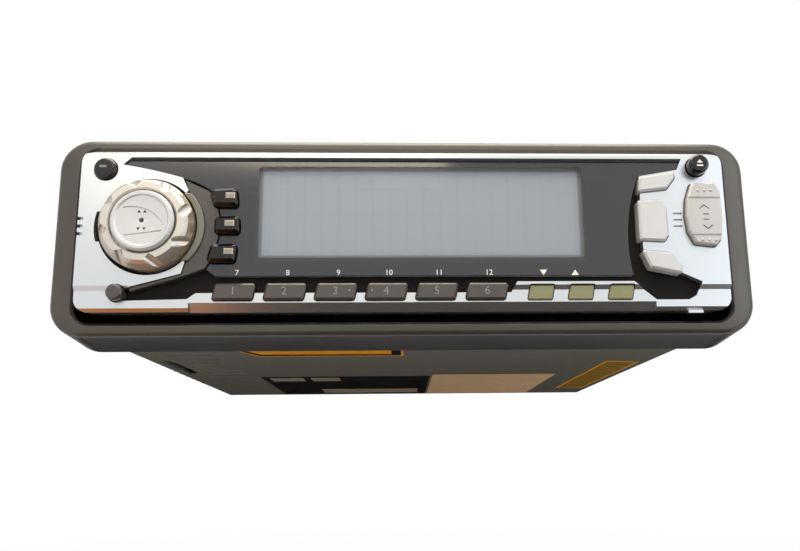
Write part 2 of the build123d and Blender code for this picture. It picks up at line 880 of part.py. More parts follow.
# Rear half of the face
with BuildPart() as face_back:
    with BuildSketch(facing(shell_back)):
        draw_face_outline()
    extrude(amount=shell_back - split_y)
    fillet(face_back.faces().sort_by(Axis.Y)[-1].edges(), 0.8)
    with BuildSketch(facing(shell_floor)):
        draw_cavity()
    extrude(amount=shell_floor - split_y, mode=Mode.SUBTRACT)
    with BuildSketch(facing(shell_back)):
        for side in (-1, 1):
            with Locations((side * (ear_clear_x + 5), ear_clear_z - 10)):
                Rectangle(10, 20)
    extrude(amount=shell_back - split_y, mode=Mode.SUBTRACT)
    with BuildSketch(facing(shell_floor)):
        with Locations(*face_screw_places):
            Circle(face_boss_radius + 0.4)
    extrude(amount=shell_floor - board_back)
    with BuildSketch(facing(shell_back)):
        with Locations(*face_screw_places):
            Circle(face_screw_radius + slide_fit)
    extrude(amount=shell_back - board_back, mode=Mode.SUBTRACT)
    with BuildSketch(facing(shell_back)):
        with Locations(*face_screw_places):
            Circle(face_head_radius + 0.1)
        with Locations(*peg_places):
            Circle(peg_radius + free_gap)
    extrude(amount=1.0, mode=Mode.SUBTRACT)
    with BuildSketch(facing(shell_back)):
        with Locations((0, (contact_low + contact_high) / 2)):
            Rectangle(2 * contact_half + 2, contact_high - contact_low + 2)
    extrude(amount=0.6, mode=Mode.SUBTRACT)
write(face_back, "face_back")

# Four small screws from the back
with BuildPart() as face_screws:
    with BuildSketch(facing(shell_back - 0.1)):
        with Locations(*face_screw_places):
            Circle(face_head_radius)
    extrude(amount=face_head_height)
    with BuildSketch(facing(shell_back - 1.0)):
        with Locations(*face_screw_places):
            Circle(face_screw_radius)
    extrude(amount=shell_back - 1.0 - board_front + face_screw_bite)
write(face_screws, "face_screws")

# Rotary encoder: body on the board, bushing through the dark plate, hollow shaft
with BuildPart() as dial_encoder:
    with BuildSketch(facing(board_front)):
        with Locations((dial_x, dial_z)):
            RectangleRounded(encoder_width, encoder_width, 0.8)
    extrude(amount=board_front - plate_back - 0.2)
    with BuildSketch(facing(board_front)):
        with Locations((dial_x, dial_z)):
            Circle(shaft_radius + bushing_wall)
    extrude(amount=board_front - skin_back + 0.4)
    with BuildSketch(facing(board_front)):
        with Locations((dial_x, dial_z)):
            Circle(shaft_radius)
    extrude(amount=board_front - shaft_front)
    with BuildSketch(facing(board_front)):
        with Locations((dial_x, dial_z)):
            Circle(stem_radius + slide_fit)
    extrude(amount=board_front - shaft_front, mode=Mode.SUBTRACT)
write(dial_encoder, "dial_encoder")

# Volume dial: a turned ring with a hub on the encoder shaft and slanted thumb grooves on its shoulder
dial_axis = Axis((dial_x, 0, dial_z), (0, 1, 0))
with BuildPart() as volume_dial:
    with BuildSketch(Plane.XY.offset(dial_z)):
        draw_outline(
            [
                (dial_x + shaft_radius + slide_fit, hub_back),
                (dial_x + hub_radius, hub_back),
                (dial_x + hub_radius, dial_web_back),
                (dial_x + dial_radius - dial_skirt, dial_web_back),
                (dial_x + dial_radius - dial_skirt, dial_back),
                (dial_x + dial_radius, dial_back),
                (dial_x + dial_radius, face_front - 1.6),
                (dial_x + dial_shoulder + 0.9, face_front - 3.6),
                (dial_x + dial_shoulder, dial_front),
                (dial_x + dial_bore + 0.4, dial_front),
                (dial_x + dial_bore, dial_front + 0.4),
                (dial_x + dial_bore, dial_web_front),
                (dial_x + shaft_radius + slide_fit, dial_web_front),
            ]
        )
    revolve(axis=dial_axis)
    for index in range(groove_count):
        turn = radians(groove_start + index * 360 / groove_count)
        middle = (dial_x + groove_middle * cos(turn), dial_front + 0.7, dial_z + groove_middle * sin(turn))
        lean = turn + radians(groove_lean)
        fall = radians(groove_fall)
        run = (cos(lean) * cos(fall), sin(fall), sin(lean) * cos(fall))
        with BuildSketch(Plane(origin=middle, z_dir=run)):
            Circle(groove_radius)
        extrude(amount=groove_length / 2, both=True, mode=Mode.SUBTRACT)
write(volume_dial, "volume_dial")

# Push disc in the middle of the dial, with a raised rim, two fine creases and a stem down the hollow shaft
select_back = shaft_front - button_travel - free_gap
with BuildPart() as select_button:
    with BuildSketch(Plane.XY.offset(dial_z)):
        draw_outline(
            [
                (dial_x, select_front + 0.5),
                (dial_x + select_radius - select_rim - 0.4, select_front + 0.3),
                (dial_x + select_radius - select_rim, select_front),
                (dial_x + select_radius - 0.5, select_front),
                (dial_x + select_radius, select_front + 0.6),
                (dial_x + select_radius, select_back),
                (dial_x + stem_radius, select_back),
                (dial_x + stem_radius, plunger_end),
                (dial_x, plunger_end),
            ]
        )
    revolve(axis=dial_axis)
    with BuildSketch(facing(select_front + crease_floor)):
        with Locations((dial_x, dial_z)):
            with BuildSketch(mode=Mode.PRIVATE) as creases:
                with BuildLine():
                    ThreePointArc((-4.9, 3.3), (0.9, 2.9), (5.5, -1.2))
                trace(line_width=crease_width)
                with BuildLine():
                    Line((-4.2, -4.1), (5.1, -2.9))
                trace(line_width=crease_width)
            add(creases.sketch)
    extrude(amount=crease_floor + 0.1, mode=Mode.SUBTRACT)
write(select_button, "select_button")

# Round buttons: a domed cap with two wings that stop it behind the skin
for name, (place, radius, front) in round_buttons().items():
    with BuildPart() as round_button:
        with BuildSketch(facing(flange_front)):
            with Locations(place):
                Circle(radius)
        extrude(amount=flange_front - front)
        fillet(round_button.faces().sort_by(Axis.Y)[0].edges(), cap_rounding)
        with BuildSketch(facing(flange_back)):
            with Locations(place):
                Rectangle(2 * (radius + wing_reach), 0.9 * radius)
                Circle(radius)
        extrude(amount=flange_back - flange_front)
        with BuildSketch(facing(plunger_end)):
            with Locations(place):
                Circle(plunger_radius)
        extrude(amount=plunger_end - flange_back)
    write(round_button, name)

# Shaped buttons: cap, flange behind the plate and plunger over its switch
for name, (points, rounding, front, bevel) in shaped_buttons().items():
    middle_x = sum(x for x, z in points) / len(points)
    middle_z = sum(z for x, z in points) / len(points)
    with BuildPart() as shaped_button:
        with BuildSketch(facing(flange_front)):
            draw_outline(points, rounding)
        extrude(amount=flange_front - front)
        chamfer(shaped_button.faces().sort_by(Axis.Y)[0].edges(), bevel)
        with BuildSketch(facing(flange_back)):
            draw_outline(points, rounding)
            offset(amount=flange_reach)
        extrude(amount=flange_back - flange_front)
        with BuildSketch(facing(plunger_end)):
            with Locations((middle_x, middle_z)):
                Circle(plunger_radius)
        extrude(amount=plunger_end - flange_back)
    write(shaped_button, name)

# Seek rocker: a tall pad with a creased tip at each end that tilts about a cross pin moulded on its back
rocker_front = face_front - rocker_rise
with BuildPart() as seek_rocker:
    with BuildSketch(facing(skin_back)):
        draw_outline(rocker_outline, rocker_corner)
    extrude(amount=skin_back - rocker_front)
    fillet(seek_rocker.faces().sort_by(Axis.Y)[0].edges(), 0.6)
    with BuildSketch(Plane.YZ.offset(rocker_axis[0] - 10.0)):
        with Locations(*[(rocker_front, z) for z in rocker_ridges]):
            Circle(0.3)
    extrude(amount=20.0, mode=Mode.SUBTRACT)
    with Locations(*[(x, rocker_front + 0.15, z) for x, z in rocker_dots]):
        Sphere(dot_radius)
    with BuildSketch(facing(flange_front)):
        with Locations(rocker_axis):
            Rectangle(*rocker_block)
    extrude(amount=flange_front - skin_back)
    with BuildSketch(Plane.YZ.offset(rocker_axis[0] - rocker_block[0] / 2)):
        with Locations((flange_front, rocker_axis[1])):
            Circle(rocker_pin)
    extrude(amount=rocker_block[0])
write(seek_rocker, "seek_rocker")

# Chassis tray: folded steel floor and sides, louvres, bosses for the drive and the board
chassis_side = chassis_width / 2
with BuildPart() as chassis_tray:
    with BuildSketch(facing(chassis_back)):
        with Locations((0, (chassis_height - sheet) / 2)):
            Rectangle(chassis_width, chassis_height - sheet)
        with Locations((0, (chassis_height + sheet) / 2)):
            Rectangle(chassis_width - 2 * sheet, chassis_height - sheet, mode=Mode.SUBTRACT)
    extrude(amount=chassis_back - chassis_front)
    with BuildSketch(Plane.XY):
        louvre_middle_y = louvre_first_y + (louvre_count - 1) * louvre_pitch / 2
        with Locations((-chassis_side + louvre_inset, louvre_middle_y)):
            with GridLocations(0, louvre_pitch, 1, louvre_count):
                SlotOverall(*louvre_slot)
    extrude(amount=sheet, mode=Mode.SUBTRACT)
    with BuildSketch(Plane.XY):
        draw_outline(
            [
                (-chassis_side + corner_cut_inset[0], corner_cut_y[0]),
                (-chassis_side + corner_cut_inset[1] - 1.5, corner_cut_y[0]),
                (-chassis_side + corner_cut_inset[1], corner_cut_y[0] + 6),
                (-chassis_side + corner_cut_inset[1], corner_cut_y[1]),
                (-chassis_side + corner_cut_inset[0], corner_cut_y[1]),
            ],
            0.8,
        )
    extrude(amount=sheet, mode=Mode.SUBTRACT)
    with BuildSketch(Plane.XY.offset(sheet)):
        with Locations(*standoff_places):
            Circle(standoff_radius)
    extrude(amount=board_z - sheet)
    with BuildSketch(Plane.XY.offset(sheet)):
        with Locations(*damper_places):
            Circle(boss_radius)
    extrude(amount=boss_top - sheet)
    for side, places in side_hole_y.items():
        with BuildSketch(Plane.YZ.offset(side * chassis_side)):
            with Locations(*[(y, side_hole_z) for y in places]):
                Circle(side_hole_radius)
        extrude(amount=-side * sheet, mode=Mode.SUBTRACT)
    with BuildSketch(Plane.XY.offset(0.6)):
        with Locations((chassis_side + lug_size[0] / 2, lug_y)):
            Rectangle(lug_size[0], lug_size[1])
    extrude(amount=lug_size[2])
write(chassis_tray, "chassis_tray")

# Top cover: steel lid with pressed ribs and side skirts
cover_middle = (chassis_front + chassis_back) / 2
with BuildPart() as top_cover:
    with BuildSketch(Plane.XY.offset(chassis_height - sheet)):
        with Locations((0, cover_middle)):
            Rectangle(chassis_width, chassis_back - chassis_front)
    extrude(amount=sheet)
    with BuildSketch(Plane.XY.offset(chassis_height)):
        with Locations((0, cover_middle)):
            with GridLocations(0, 62.0, 1, 2):
                SlotOverall(140.0, 7.0)
            with GridLocations(chassis_width - 2 * rib_inset, 0, 2, 1):
                SlotOverall(96.0, 6.0, rotation=90)
    extrude(amount=rib_height)
    for side in (-1, 1):
        with BuildSketch(Plane.XY.offset(chassis_height - sheet)):
            with Locations((side * (chassis_side - sheet - 0.6), cover_middle)):
                Rectangle(0.8, chassis_back - chassis_front - 2 * skirt_inset)
        extrude(amount=-5.0)
    with BuildSketch(Plane.XY.offset(chassis_height - sheet)):
        with Locations((0, chassis_back - 28.0)):
            with GridLocations(0, 4.0, 1, 5):
                SlotOverall(40.0, 1.6)
    extrude(amount=sheet + rib_height, mode=Mode.SUBTRACT)
write(top_cover, "top_cover")

# Rear panel: steel plate with the cut-outs for the sockets
with BuildPart() as rear_panel:
    with BuildSketch(facing(chassis_back)):
        with Locations((0, chassis_height / 2)):
            Rectangle(chassis_width - 2 * (sheet + cutout_gap), chassis_height - 2 * (sheet + cutout_gap))
        with Locations(antenna_place):
            Circle(antenna_radius + cutout_gap, mode=Mode.SUBTRACT)
        with Locations(harness_place):
            Rectangle(harness_width + 2 * cutout_gap, harness_height + 2 * cutout_gap, mode=Mode.SUBTRACT)
        with Locations(*output_places):
            Circle(output_radius + cutout_gap, mode=Mode.SUBTRACT)
        with Locations(changer_place):
            Circle(changer_radius + cutout_gap, mode=Mode.SUBTRACT)
        with Locations(stud_place):
            Circle(stud_radius + cutout_gap, mode=Mode.SUBTRACT)
        with Locations((0, chassis_height / 2)):
            with GridLocations(*panel_screw_pitch, 2, 2):
                Circle(panel_screw_radius + cutout_gap, mode=Mode.SUBTRACT)
        with Locations((-chassis_side + 13.0, 11.0)):
            with GridLocations(3.6, 0, 4, 1):
                SlotOverall(10.0, 1.6, rotation=90, mode=Mode.SUBTRACT)
    extrude(amount=sheet)
write(rear_panel, "rear_panel")

# Rear stud: the threaded support pin with its nut and inner head
with BuildPart() as rear_stud:
    with BuildSketch(facing(chassis_back - sheet - stud_head)):
        with Locations(stud_place):
            Circle(stud_radius)
    extrude(amount=-(stud_length + sheet + stud_head))
    with BuildSketch(facing(chassis_back - sheet - stud_head)):
        with Locations(stud_place):
            Circle(stud_head_radius)
    extrude(amount=-stud_head)
    with BuildSketch(facing(chassis_back)):
        with Locations(stud_place):
            RegularPolygon(nut_radius, 6)
    extrude(amount=-nut_height)
    chamfer(rear_stud.faces().sort_by(Axis.Y)[-1].edges(), 0.5)
write(rear_stud, "rear_stud")

# Aerial socket
with BuildPart() as antenna_socket:
    with BuildSketch(facing(chassis_back + antenna_reach)):
        with Locations(antenna_place):
            Circle(antenna_radius)
    extrude(amount=antenna_reach + 10)
    with BuildSketch(facing(chassis_back + antenna_reach)):
        with Locations(antenna_place):
            Circle(antenna_bore)
    extrude(amount=antenna_reach + 6, mode=Mode.SUBTRACT)
    chamfer(antenna_socket.faces().sort_by(Axis.Y)[-1].edges(), 0.4)
    with BuildSketch(facing(chassis_back + antenna_flange[2])):
        with Locations(antenna_place):
            RectangleRounded(antenna_flange[0], antenna_flange[1], 2.0)
            Circle(antenna_bore + 1.4, mode=Mode.SUBTRACT)
    extrude(amount=antenna_flange[2])
write(antenna_socket, "antenna_socket")

# Harness socket: a rectangular shroud with two rows of eight pins
with BuildPart() as harness_socket:
    with BuildSketch(facing(chassis_back + harness_reach)):
        with Locations(harness_place):
            RectangleRounded(harness_width, harness_height, 0.8)
    extrude(amount=harness_reach + 7)
    with BuildSketch(facing(chassis_back + harness_reach)):
        with Locations(harness_place):
            RectangleRounded(harness_width - 2 * harness_wall, harness_height - 2 * harness_wall, 0.5)
        with Locations((harness_place[0], harness_place[1] + harness_height / 2 - 1.0)):
            Rectangle(8.0, 2.0)
    extrude(amount=harness_reach + 5, mode=Mode.SUBTRACT)
    with BuildSketch(facing(chassis_back + 1.0)):
        with Locations(harness_place):
            with GridLocations(3.6, 6.0, 8, 2):
                Rectangle(0.9, 0.9)
    extrude(amount=6.0)
write(harness_socket, "harness_socket")

# Line outputs: four phono sockets in one moulding
with BuildPart() as output_sockets:
    with BuildSketch(facing(chassis_back)):
        with Locations(*output_places):
            Circle(output_radius)
    extrude(amount=-output_reach)
    with BuildSketch(facing(chassis_back)):
        with Locations(*output_places):
            Circle(output_radius)
        with Locations(output_middle):
            RectangleRounded(*output_block, 1.0, mode=Mode.INTERSECT)
    extrude(amount=3.0)
    with BuildSketch(facing(chassis_back - 3.0)):
        with Locations(output_middle):
            RectangleRounded(*output_block, 1.0)
    extrude(amount=6.0)
    with BuildSketch(facing(chassis_back + output_reach)):
        with Locations(*output_places):
            Circle(output_bore)
    extrude(amount=output_reach, mode=Mode.SUBTRACT)
write(output_sockets, "output_sockets")

# Changer socket: a round multi-pin socket
with BuildPart() as changer_socket:
    with BuildSketch(facing(chassis_back + changer_reach)):
        with Locations(changer_place):
            Circle(changer_radius)
    extrude(amount=changer_reach + 9.0)
    with BuildSketch(facing(chassis_back + changer_reach)):
        with Locations(changer_place):
            Circle(changer_bore)
    extrude(amount=changer_reach + 6.0, mode=Mode.SUBTRACT)
    with BuildSketch(facing(chassis_back - 2.0)):
        with Locations(changer_place):
            with PolarLocations(3.4, 7, start_angle=0, angular_range=270):
                Circle(0.5)
            Circle(0.5)
    extrude(amount=5.0)
write(changer_socket, "changer_socket")

# Heat sink on the left side, an extrusion with rounded fins that reach further out near the back
fin_count = short_fins + long_fins
fin_pitch = (sink_y[1] - sink_y[0] - fin_width) / (fin_count - 1)
root = -chassis_side - sink_base / 2
with BuildPart() as heat_sink:
    with BuildSketch(Plane.XY.offset(sink_z[0])):
        with Locations((root, sum(sink_y) / 2)):
            Rectangle(sink_base, sink_y[1] - sink_y[0])
        for index in range(fin_count):
            reach = short_fin if index < short_fins else long_fin
            fin_y = sink_y[0] + fin_width / 2 + index * fin_pitch
            with Locations((root - reach / 2, fin_y)):
                Rectangle(reach, fin_width)
            with Locations((root - reach, fin_y)):
                Circle(fin_width / 2)
    extrude(amount=sink_z[1] - sink_z[0])
write(heat_sink, "heat_sink")

# Main circuit board
with BuildPart() as main_board:
    with BuildSketch(Plane.XY.offset(board_z)):
        with Locations((0, sum(board_y) / 2)):
            Rectangle(2 * board_half_width, board_y[1] - board_y[0])
        with Locations(*damper_places):
            Circle(boss_radius + 1.0, mode=Mode.SUBTRACT)
    extrude(amount=board_sheet)
write(main_board, "main_board")

# Larger components on the board
board_top = board_z + board_sheet
with BuildPart() as board_components:
    with BuildSketch(Plane.XY.offset(board_top)):
        with Locations((-28.0, 62.0)):
            Rectangle(20.0, 20.0)
        with Locations((30.0, 44.0)):
            Rectangle(14.0, 20.0)
        with Locations((-30.0, 104.0)):
            Rectangle(24.0, 12.0)
    extrude(amount=2.6)
    with BuildSketch(Plane.XY.offset(board_top)):
        with Locations((board_half_width - 7.0, 112.0)):
            Rectangle(14.0, 46.0)
    extrude(amount=14.0)
    with BuildSketch(Plane.XY.offset(board_top)):
        with Locations((-chassis_side + sheet + 2.5, 112.0)):
            Rectangle(5.0, 40.0)
    extrude(amount=22.0)
    with BuildSketch(Plane.XY.offset(board_top)):
        left, right = -board_half_width + 10.0, board_half_width - 9.0
        with Locations((left, 44.0), (left, 58.0), (left, 72.0), (right, 60.0), (right, 74.0)):
            Circle(5.0)
    extrude(amount=18.0)
    with BuildSketch(Plane.XY.offset(board_top)):
        with Locations((board_half_width - 9.0, 40.0)):
            Circle(8.0)
            Circle(4.0, mode=Mode.SUBTRACT)
    extrude(amount=9.0)
write(board_components, "board_components")

# Screws of the rear panel and the top cover
with BuildPart() as chassis_screws:
    with BuildSketch(facing(chassis_back)):
        with Locations((0, chassis_height / 2)):
            with GridLocations(*panel_screw_pitch, 2, 2):
                Circle(panel_screw_head)
    extrude(amount=-1.5)
    fillet(chassis_screws.faces().group_by(Axis.Y)[-1].edges(), 0.6)
    with BuildSketch(facing(chassis_back)):
        with Locations((0, chassis_height / 2)):
            with GridLocations(*panel_screw_pitch, 2, 2):
                Circle(panel_screw_radius)
    extrude(amount=5.0)
write(chassis_screws, "chassis_screws")

# Drive base: pressed tray on rubber dampers, with guide bridge, bearings and the clamp pivot
base_top = base_z + base_sheet
base_inner = base_half_width - base_sheet
clamp_ear = clamp_half_width + 2.0
with BuildPart() as transport_base:
    with BuildSketch(Plane.XY.offset(base_z)):
        with Locations((0, (base_front + base_back) / 2)):
            Rectangle(2 * base_half_width, base_back - base_front)
        with Locations((0, disc_y)):
            Circle(3.8, mode=Mode.SUBTRACT)
    extrude(amount=base_sheet)
    for side in (-1, 1):
        with BuildSketch(Plane.XY.offset(base_top)):
            with Locations((side * (base_half_width - base_sheet / 2), (base_front + base_back) / 2)):
                Rectangle(base_sheet, base_back - base_front)
        extrude(amount=base_wall_top - base_top)
        with BuildSketch(Plane.XY.offset(base_wall_top)):
            with Locations((side * (base_half_width - base_sheet / 2), base_front + guide_depth / 2)):
                Rectangle(base_sheet, guide_depth)
        extrude(amount=guide_z + 1.0 - base_wall_top)
        with BuildSketch(Plane.YZ.offset(side * (clamp_ear + base_sheet / 2) - base_sheet / 2)):
            with Locations((clamp_pivot_y, (base_top + clamp_pivot_z) / 2)):
                Rectangle(6.0, clamp_pivot_z - base_top)
            with Locations((clamp_pivot_y, clamp_pivot_z)):
                Circle(3.0)
        extrude(amount=base_sheet)
    with BuildSketch(Plane.XY.offset(guide_z)):
        with Locations((0, base_front + guide_depth / 2)):
            Rectangle(2 * base_half_width, guide_depth)
    extrude(amount=1.0)
    with BuildSketch(Plane.YZ.offset(-clamp_ear)):
        with Locations((clamp_pivot_y, clamp_pivot_z)):
            Circle(clamp_pin)
    extrude(amount=2 * clamp_ear)
    with BuildSketch(Plane.XY.offset(base_top)):
        for side in (-1, 1):
            with Locations((rod_left + 1.0, disc_y + side * rod_offset)):
                Rectangle(2.0, 6.0)
        with Locations((base_inner - 0.8, screw_y)):
            Rectangle(1.6, 5.0)
    extrude(amount=5.6)
    with BuildSketch(Plane.YZ.offset(rod_left)):
        for side in (-1, 1):
            with Locations((disc_y + side * rod_offset, rod_z)):
                Circle(rod_radius + press_fit)
    extrude(amount=2.0, mode=Mode.SUBTRACT)
    with BuildSketch(Plane.YZ.offset(base_inner - 1.6)):
        with Locations((screw_y, rod_z)):
            Circle(screw_pin + slide_fit)
    extrude(amount=1.6, mode=Mode.SUBTRACT)
    with BuildSketch(Plane.YZ.offset(-base_half_width)):
        with Locations((arm_pivot_y, arm_pivot_z)):
            Circle(rod_radius + slide_fit)
    extrude(amount=2 * base_half_width, mode=Mode.SUBTRACT)
write(transport_base, "transport_base")

# Rubber dampers between the chassis bosses and the drive base
with BuildPart() as transport_dampers:
    with BuildSketch(Plane.XY.offset(boss_top)):
        with Locations(*damper_places):
            Circle(damper_radius)
    extrude(amount=base_z - boss_top)
    groove_z = (boss_top + base_z) / 2
    with BuildSketch(Plane.XY.offset(groove_z - 0.8)):
        with Locations(*damper_places):
            Circle(damper_radius)
            Circle(damper_radius - 1.2, mode=Mode.SUBTRACT)
    extrude(amount=1.6, mode=Mode.SUBTRACT)
write(transport_dampers, "transport_dampers")

# Polished rods that guide the pickup
with BuildPart() as guide_rods:
    with BuildSketch(Plane.YZ.offset(rod_left)):
        for side in (-1, 1):
            with Locations((disc_y + side * rod_offset, rod_z)):
                Circle(rod_radius)
    extrude(amount=base_inner - rod_left)
write(guide_rods, "guide_rods")

# Spindle motor under the base and the small sled motor on it
sled_motor_radius = 3.6
sled_motor_z = base_top + sled_motor_radius
sled_motor_end = 8.0
with BuildPart() as drive_motors:
    with BuildSketch(Plane.XY.offset(motor_bottom)):
        with Locations((0, disc_y)):
            Circle(motor_radius)
    extrude(amount=base_z - motor_bottom)
    with BuildSketch(Plane.XY.offset(base_z)):
        with Locations((0, disc_y)):
            Circle(3.4)
    extrude(amount=turntable_z - 0.6 - base_z)
    with BuildSketch(Plane.XY.offset(motor_bottom + 1.0)):
        with Locations((0, disc_y)):
            Circle(spindle_radius + slide_fit)
    extrude(amount=turntable_z - motor_bottom, mode=Mode.SUBTRACT)
    with BuildSketch(Plane.YZ.offset(sled_motor_end - 20.0)):
        with Locations((screw_y, sled_motor_z)):
            Circle(sled_motor_radius)
    extrude(amount=20.0)
    with BuildSketch(Plane.YZ.offset(sled_motor_end)):
        with Locations((screw_y, rod_z)):
            Circle(screw_pin + slide_fit)
    extrude(amount=-6.0, mode=Mode.SUBTRACT)
write(drive_motors, "drive_motors")

# Turntable: flange, centring cone and shaft
with BuildPart() as turntable:
    with BuildSketch(Plane.XZ.offset(-disc_y)):
        draw_outline(
            [
                (0, motor_bottom + 1.4),
                (spindle_radius, motor_bottom + 1.4),
                (spindle_radius, turntable_z),
                (turntable_radius, turntable_z),
                (turntable_radius, turntable_z + 1.0),
                (7.4, turntable_z + 1.0),
                (6.0, cone_top),
                (0, cone_top),
            ]
        )
    revolve(axis=Axis((0, disc_y, 0), (0, 0, 1)))
write(turntable, "turntable")

# Optical pickup: sled on the rods, nut finger by the lead screw, and the lens
pickup_bottom = base_top + 1.0
pickup_top = 27.0
pickup_reach = rod_offset + 2.5
with BuildPart() as optical_pickup:
    with BuildSketch(Plane.XY.offset(pickup_bottom)):
        with Locations((pickup_x, disc_y)):
            RectangleRounded(2 * pickup_half, 2 * pickup_reach, 1.5)
    extrude(amount=pickup_top - pickup_bottom)
    with BuildSketch(Plane.XY.offset(rod_z - 1.5)):
        with Locations((pickup_x, (disc_y - pickup_reach + screw_y + screw_radius + free_gap) / 2)):
            Rectangle(8.0, disc_y - pickup_reach - screw_y - screw_radius - free_gap)
    extrude(amount=3.0)
    with BuildSketch(Plane.YZ.offset(pickup_x - pickup_half)):
        for side in (-1, 1):
            with Locations((disc_y + side * rod_offset, rod_z)):
                Circle(rod_radius + slide_fit)
    extrude(amount=2 * pickup_half, mode=Mode.SUBTRACT)
    with BuildSketch(Plane.XY.offset(pickup_top)):
        with Locations((pickup_x, disc_y)):
            Circle(3.6)
    extrude(amount=0.8)
    with BuildSketch(Plane.XY.offset(pickup_top + 0.8)):
        with Locations((pickup_x, disc_y)):
            Circle(2.2)
    extrude(amount=0.6)
write(optical_pickup, "optical_pickup")

# Lead screw that moves the pickup
with BuildPart() as lead_screw:
    with BuildSketch(Plane.YZ.offset(sled_motor_end + 0.5)):
        with Locations((screw_y, rod_z)):
            Circle(screw_radius)
    extrude(amount=base_inner - 1.6 - 0.5 - sled_motor_end - 0.5)
    with BuildSketch(Plane.YZ.offset(sled_motor_end - 5.0)):
        with Locations((screw_y, rod_z)):
            Circle(screw_pin)
    extrude(amount=base_inner - 0.2 - sled_motor_end + 5.0)
write(lead_screw, "lead_screw")

# Roller arm: two side plates and a cross bar, hinged on the base
with BuildPart() as roller_arm:
    for side in (-1, 1):
        with BuildSketch(Plane.YZ.offset(side * (arm_inner + arm_sheet / 2) - arm_sheet / 2)):
            with BuildLine():
                Line((arm_pivot_y, arm_pivot_z), (roller_y, roller_z))
            trace(line_width=2 * arm_radius)
            with Locations((arm_pivot_y, arm_pivot_z), (roller_y, roller_z)):
                Circle(arm_radius)
            with Locations((roller_y, roller_z)):
                Circle(roller_pin + slide_fit, mode=Mode.SUBTRACT)
        extrude(amount=arm_sheet)
        with BuildSketch(Plane.YZ.offset(side * (arm_inner + arm_sheet))):
            with Locations((arm_pivot_y, arm_pivot_z)):
                Circle(rod_radius)
        extrude(amount=side * (base_half_width - arm_inner - arm_sheet))
    with BuildSketch(Plane.YZ.offset(-arm_inner)):
        with Locations((arm_pivot_y - 4.5, arm_pivot_z - 1.2)):
            Rectangle(3.0, 1.2)
    extrude(amount=2 * arm_inner)
write(roller_arm, "roller_arm")

# Feed roller: rubber, waisted so that it touches the disc only by its edge
with BuildPart() as feed_roller:
    with BuildSketch(Plane.XY.offset(roller_z)):
        with BuildLine():
            Line((-roller_half_length, roller_y), (-roller_half_length, roller_y + roller_radius))
            ThreePointArc(
                (-roller_half_length, roller_y + roller_radius),
                (0, roller_y + roller_waist),
                (roller_half_length, roller_y + roller_radius),
            )
            Line((roller_half_length, roller_y + roller_radius), (roller_half_length, roller_y))
            Line((roller_half_length, roller_y), (-roller_half_length, roller_y))
        make_face()
    revolve(axis=Axis((0, roller_y, roller_z), (1, 0, 0)))
    with BuildSketch(Plane.YZ.offset(-arm_inner - arm_sheet)):
        with Locations((roller_y, roller_z)):
            Circle(roller_pin)
    extrude(amount=2 * (arm_inner + arm_sheet))
write(feed_roller, "feed_roller")

# Clamp arm: a pressed strip hinged at the back, raised at rest
clamp_sheet = 1.2
clamp_front = disc_y - 12.0
rib_front = disc_y + 12.0
rib_back = clamp_pivot_y - 8.0
rib_spacing = 15.0
barrel_radius = 2.0
with BuildPart() as clamp_arm:
    with BuildSketch(Plane.XY.offset(clamp_z)):
        with Locations((0, (clamp_front + clamp_pivot_y) / 2)):
            Rectangle(2 * clamp_half_width, clamp_pivot_y - clamp_front)
    extrude(amount=clamp_sheet)
    with BuildSketch(Plane.YZ.offset(-clamp_half_width)):
        with Locations((clamp_pivot_y, clamp_pivot_z)):
            Circle(barrel_radius)
    extrude(amount=2 * clamp_half_width)
    with BuildSketch(Plane.YZ.offset(-clamp_half_width)):
        with Locations((clamp_pivot_y, clamp_pivot_z)):
            Circle(clamp_pin + slide_fit)
    extrude(amount=2 * clamp_half_width, mode=Mode.SUBTRACT)
    with BuildSketch(Plane.XY.offset(clamp_z)):
        with Locations((0, disc_y)):
            Circle(puck_hub + 0.4)
    extrude(amount=clamp_sheet, mode=Mode.SUBTRACT)
    with BuildSketch(Plane.XY.offset(clamp_z + clamp_sheet)):
        with Locations((0, (rib_front + rib_back) / 2)):
            with GridLocations(rib_spacing, 0, 2, 1):
                Rectangle(clamp_sheet, rib_back - rib_front)
    extrude(amount=1.6)
write(clamp_arm, "clamp_arm")

# Clamp puck: hangs in the arm and presses the disc on the turntable
with BuildPart() as clamp_puck:
    with BuildSketch(Plane.XZ.offset(-disc_y)):
        draw_outline(
            [
                (0, clamp_z - 1.4),
                (puck_radius, clamp_z - 1.4),
                (puck_radius, clamp_z - 0.6),
                (puck_hub, clamp_z - 0.4),
                (puck_hub, clamp_z + clamp_sheet + 0.4),
                (8.0, clamp_z + clamp_sheet + 0.4),
                (7.4, clamp_z + clamp_sheet + 1.4),
                (0, clamp_z + clamp_sheet + 1.4),
            ]
        )
    revolve(axis=Axis((0, disc_y, 0), (0, 0, 1)))
write(clamp_puck, "clamp_puck")
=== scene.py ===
"""Looks of a car CD player: finishes, printed marks, small fittings, lamps and camera.

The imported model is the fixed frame. Sizes in the dataclass fields are millimetres of that frame: +X right as
the driver sees it, +Y into the dash, +Z up, with the origin under the chassis in the plane of the trim ring's
rear rim. Lamps, cards, floor and camera are placed in metres.
"""

from __future__ import annotations

import logging
import math
from dataclasses import dataclass, field
from enum import Enum
from typing import Any, Sequence

import bmesh
import bpy
from mathutils import Euler, Matrix, Vector


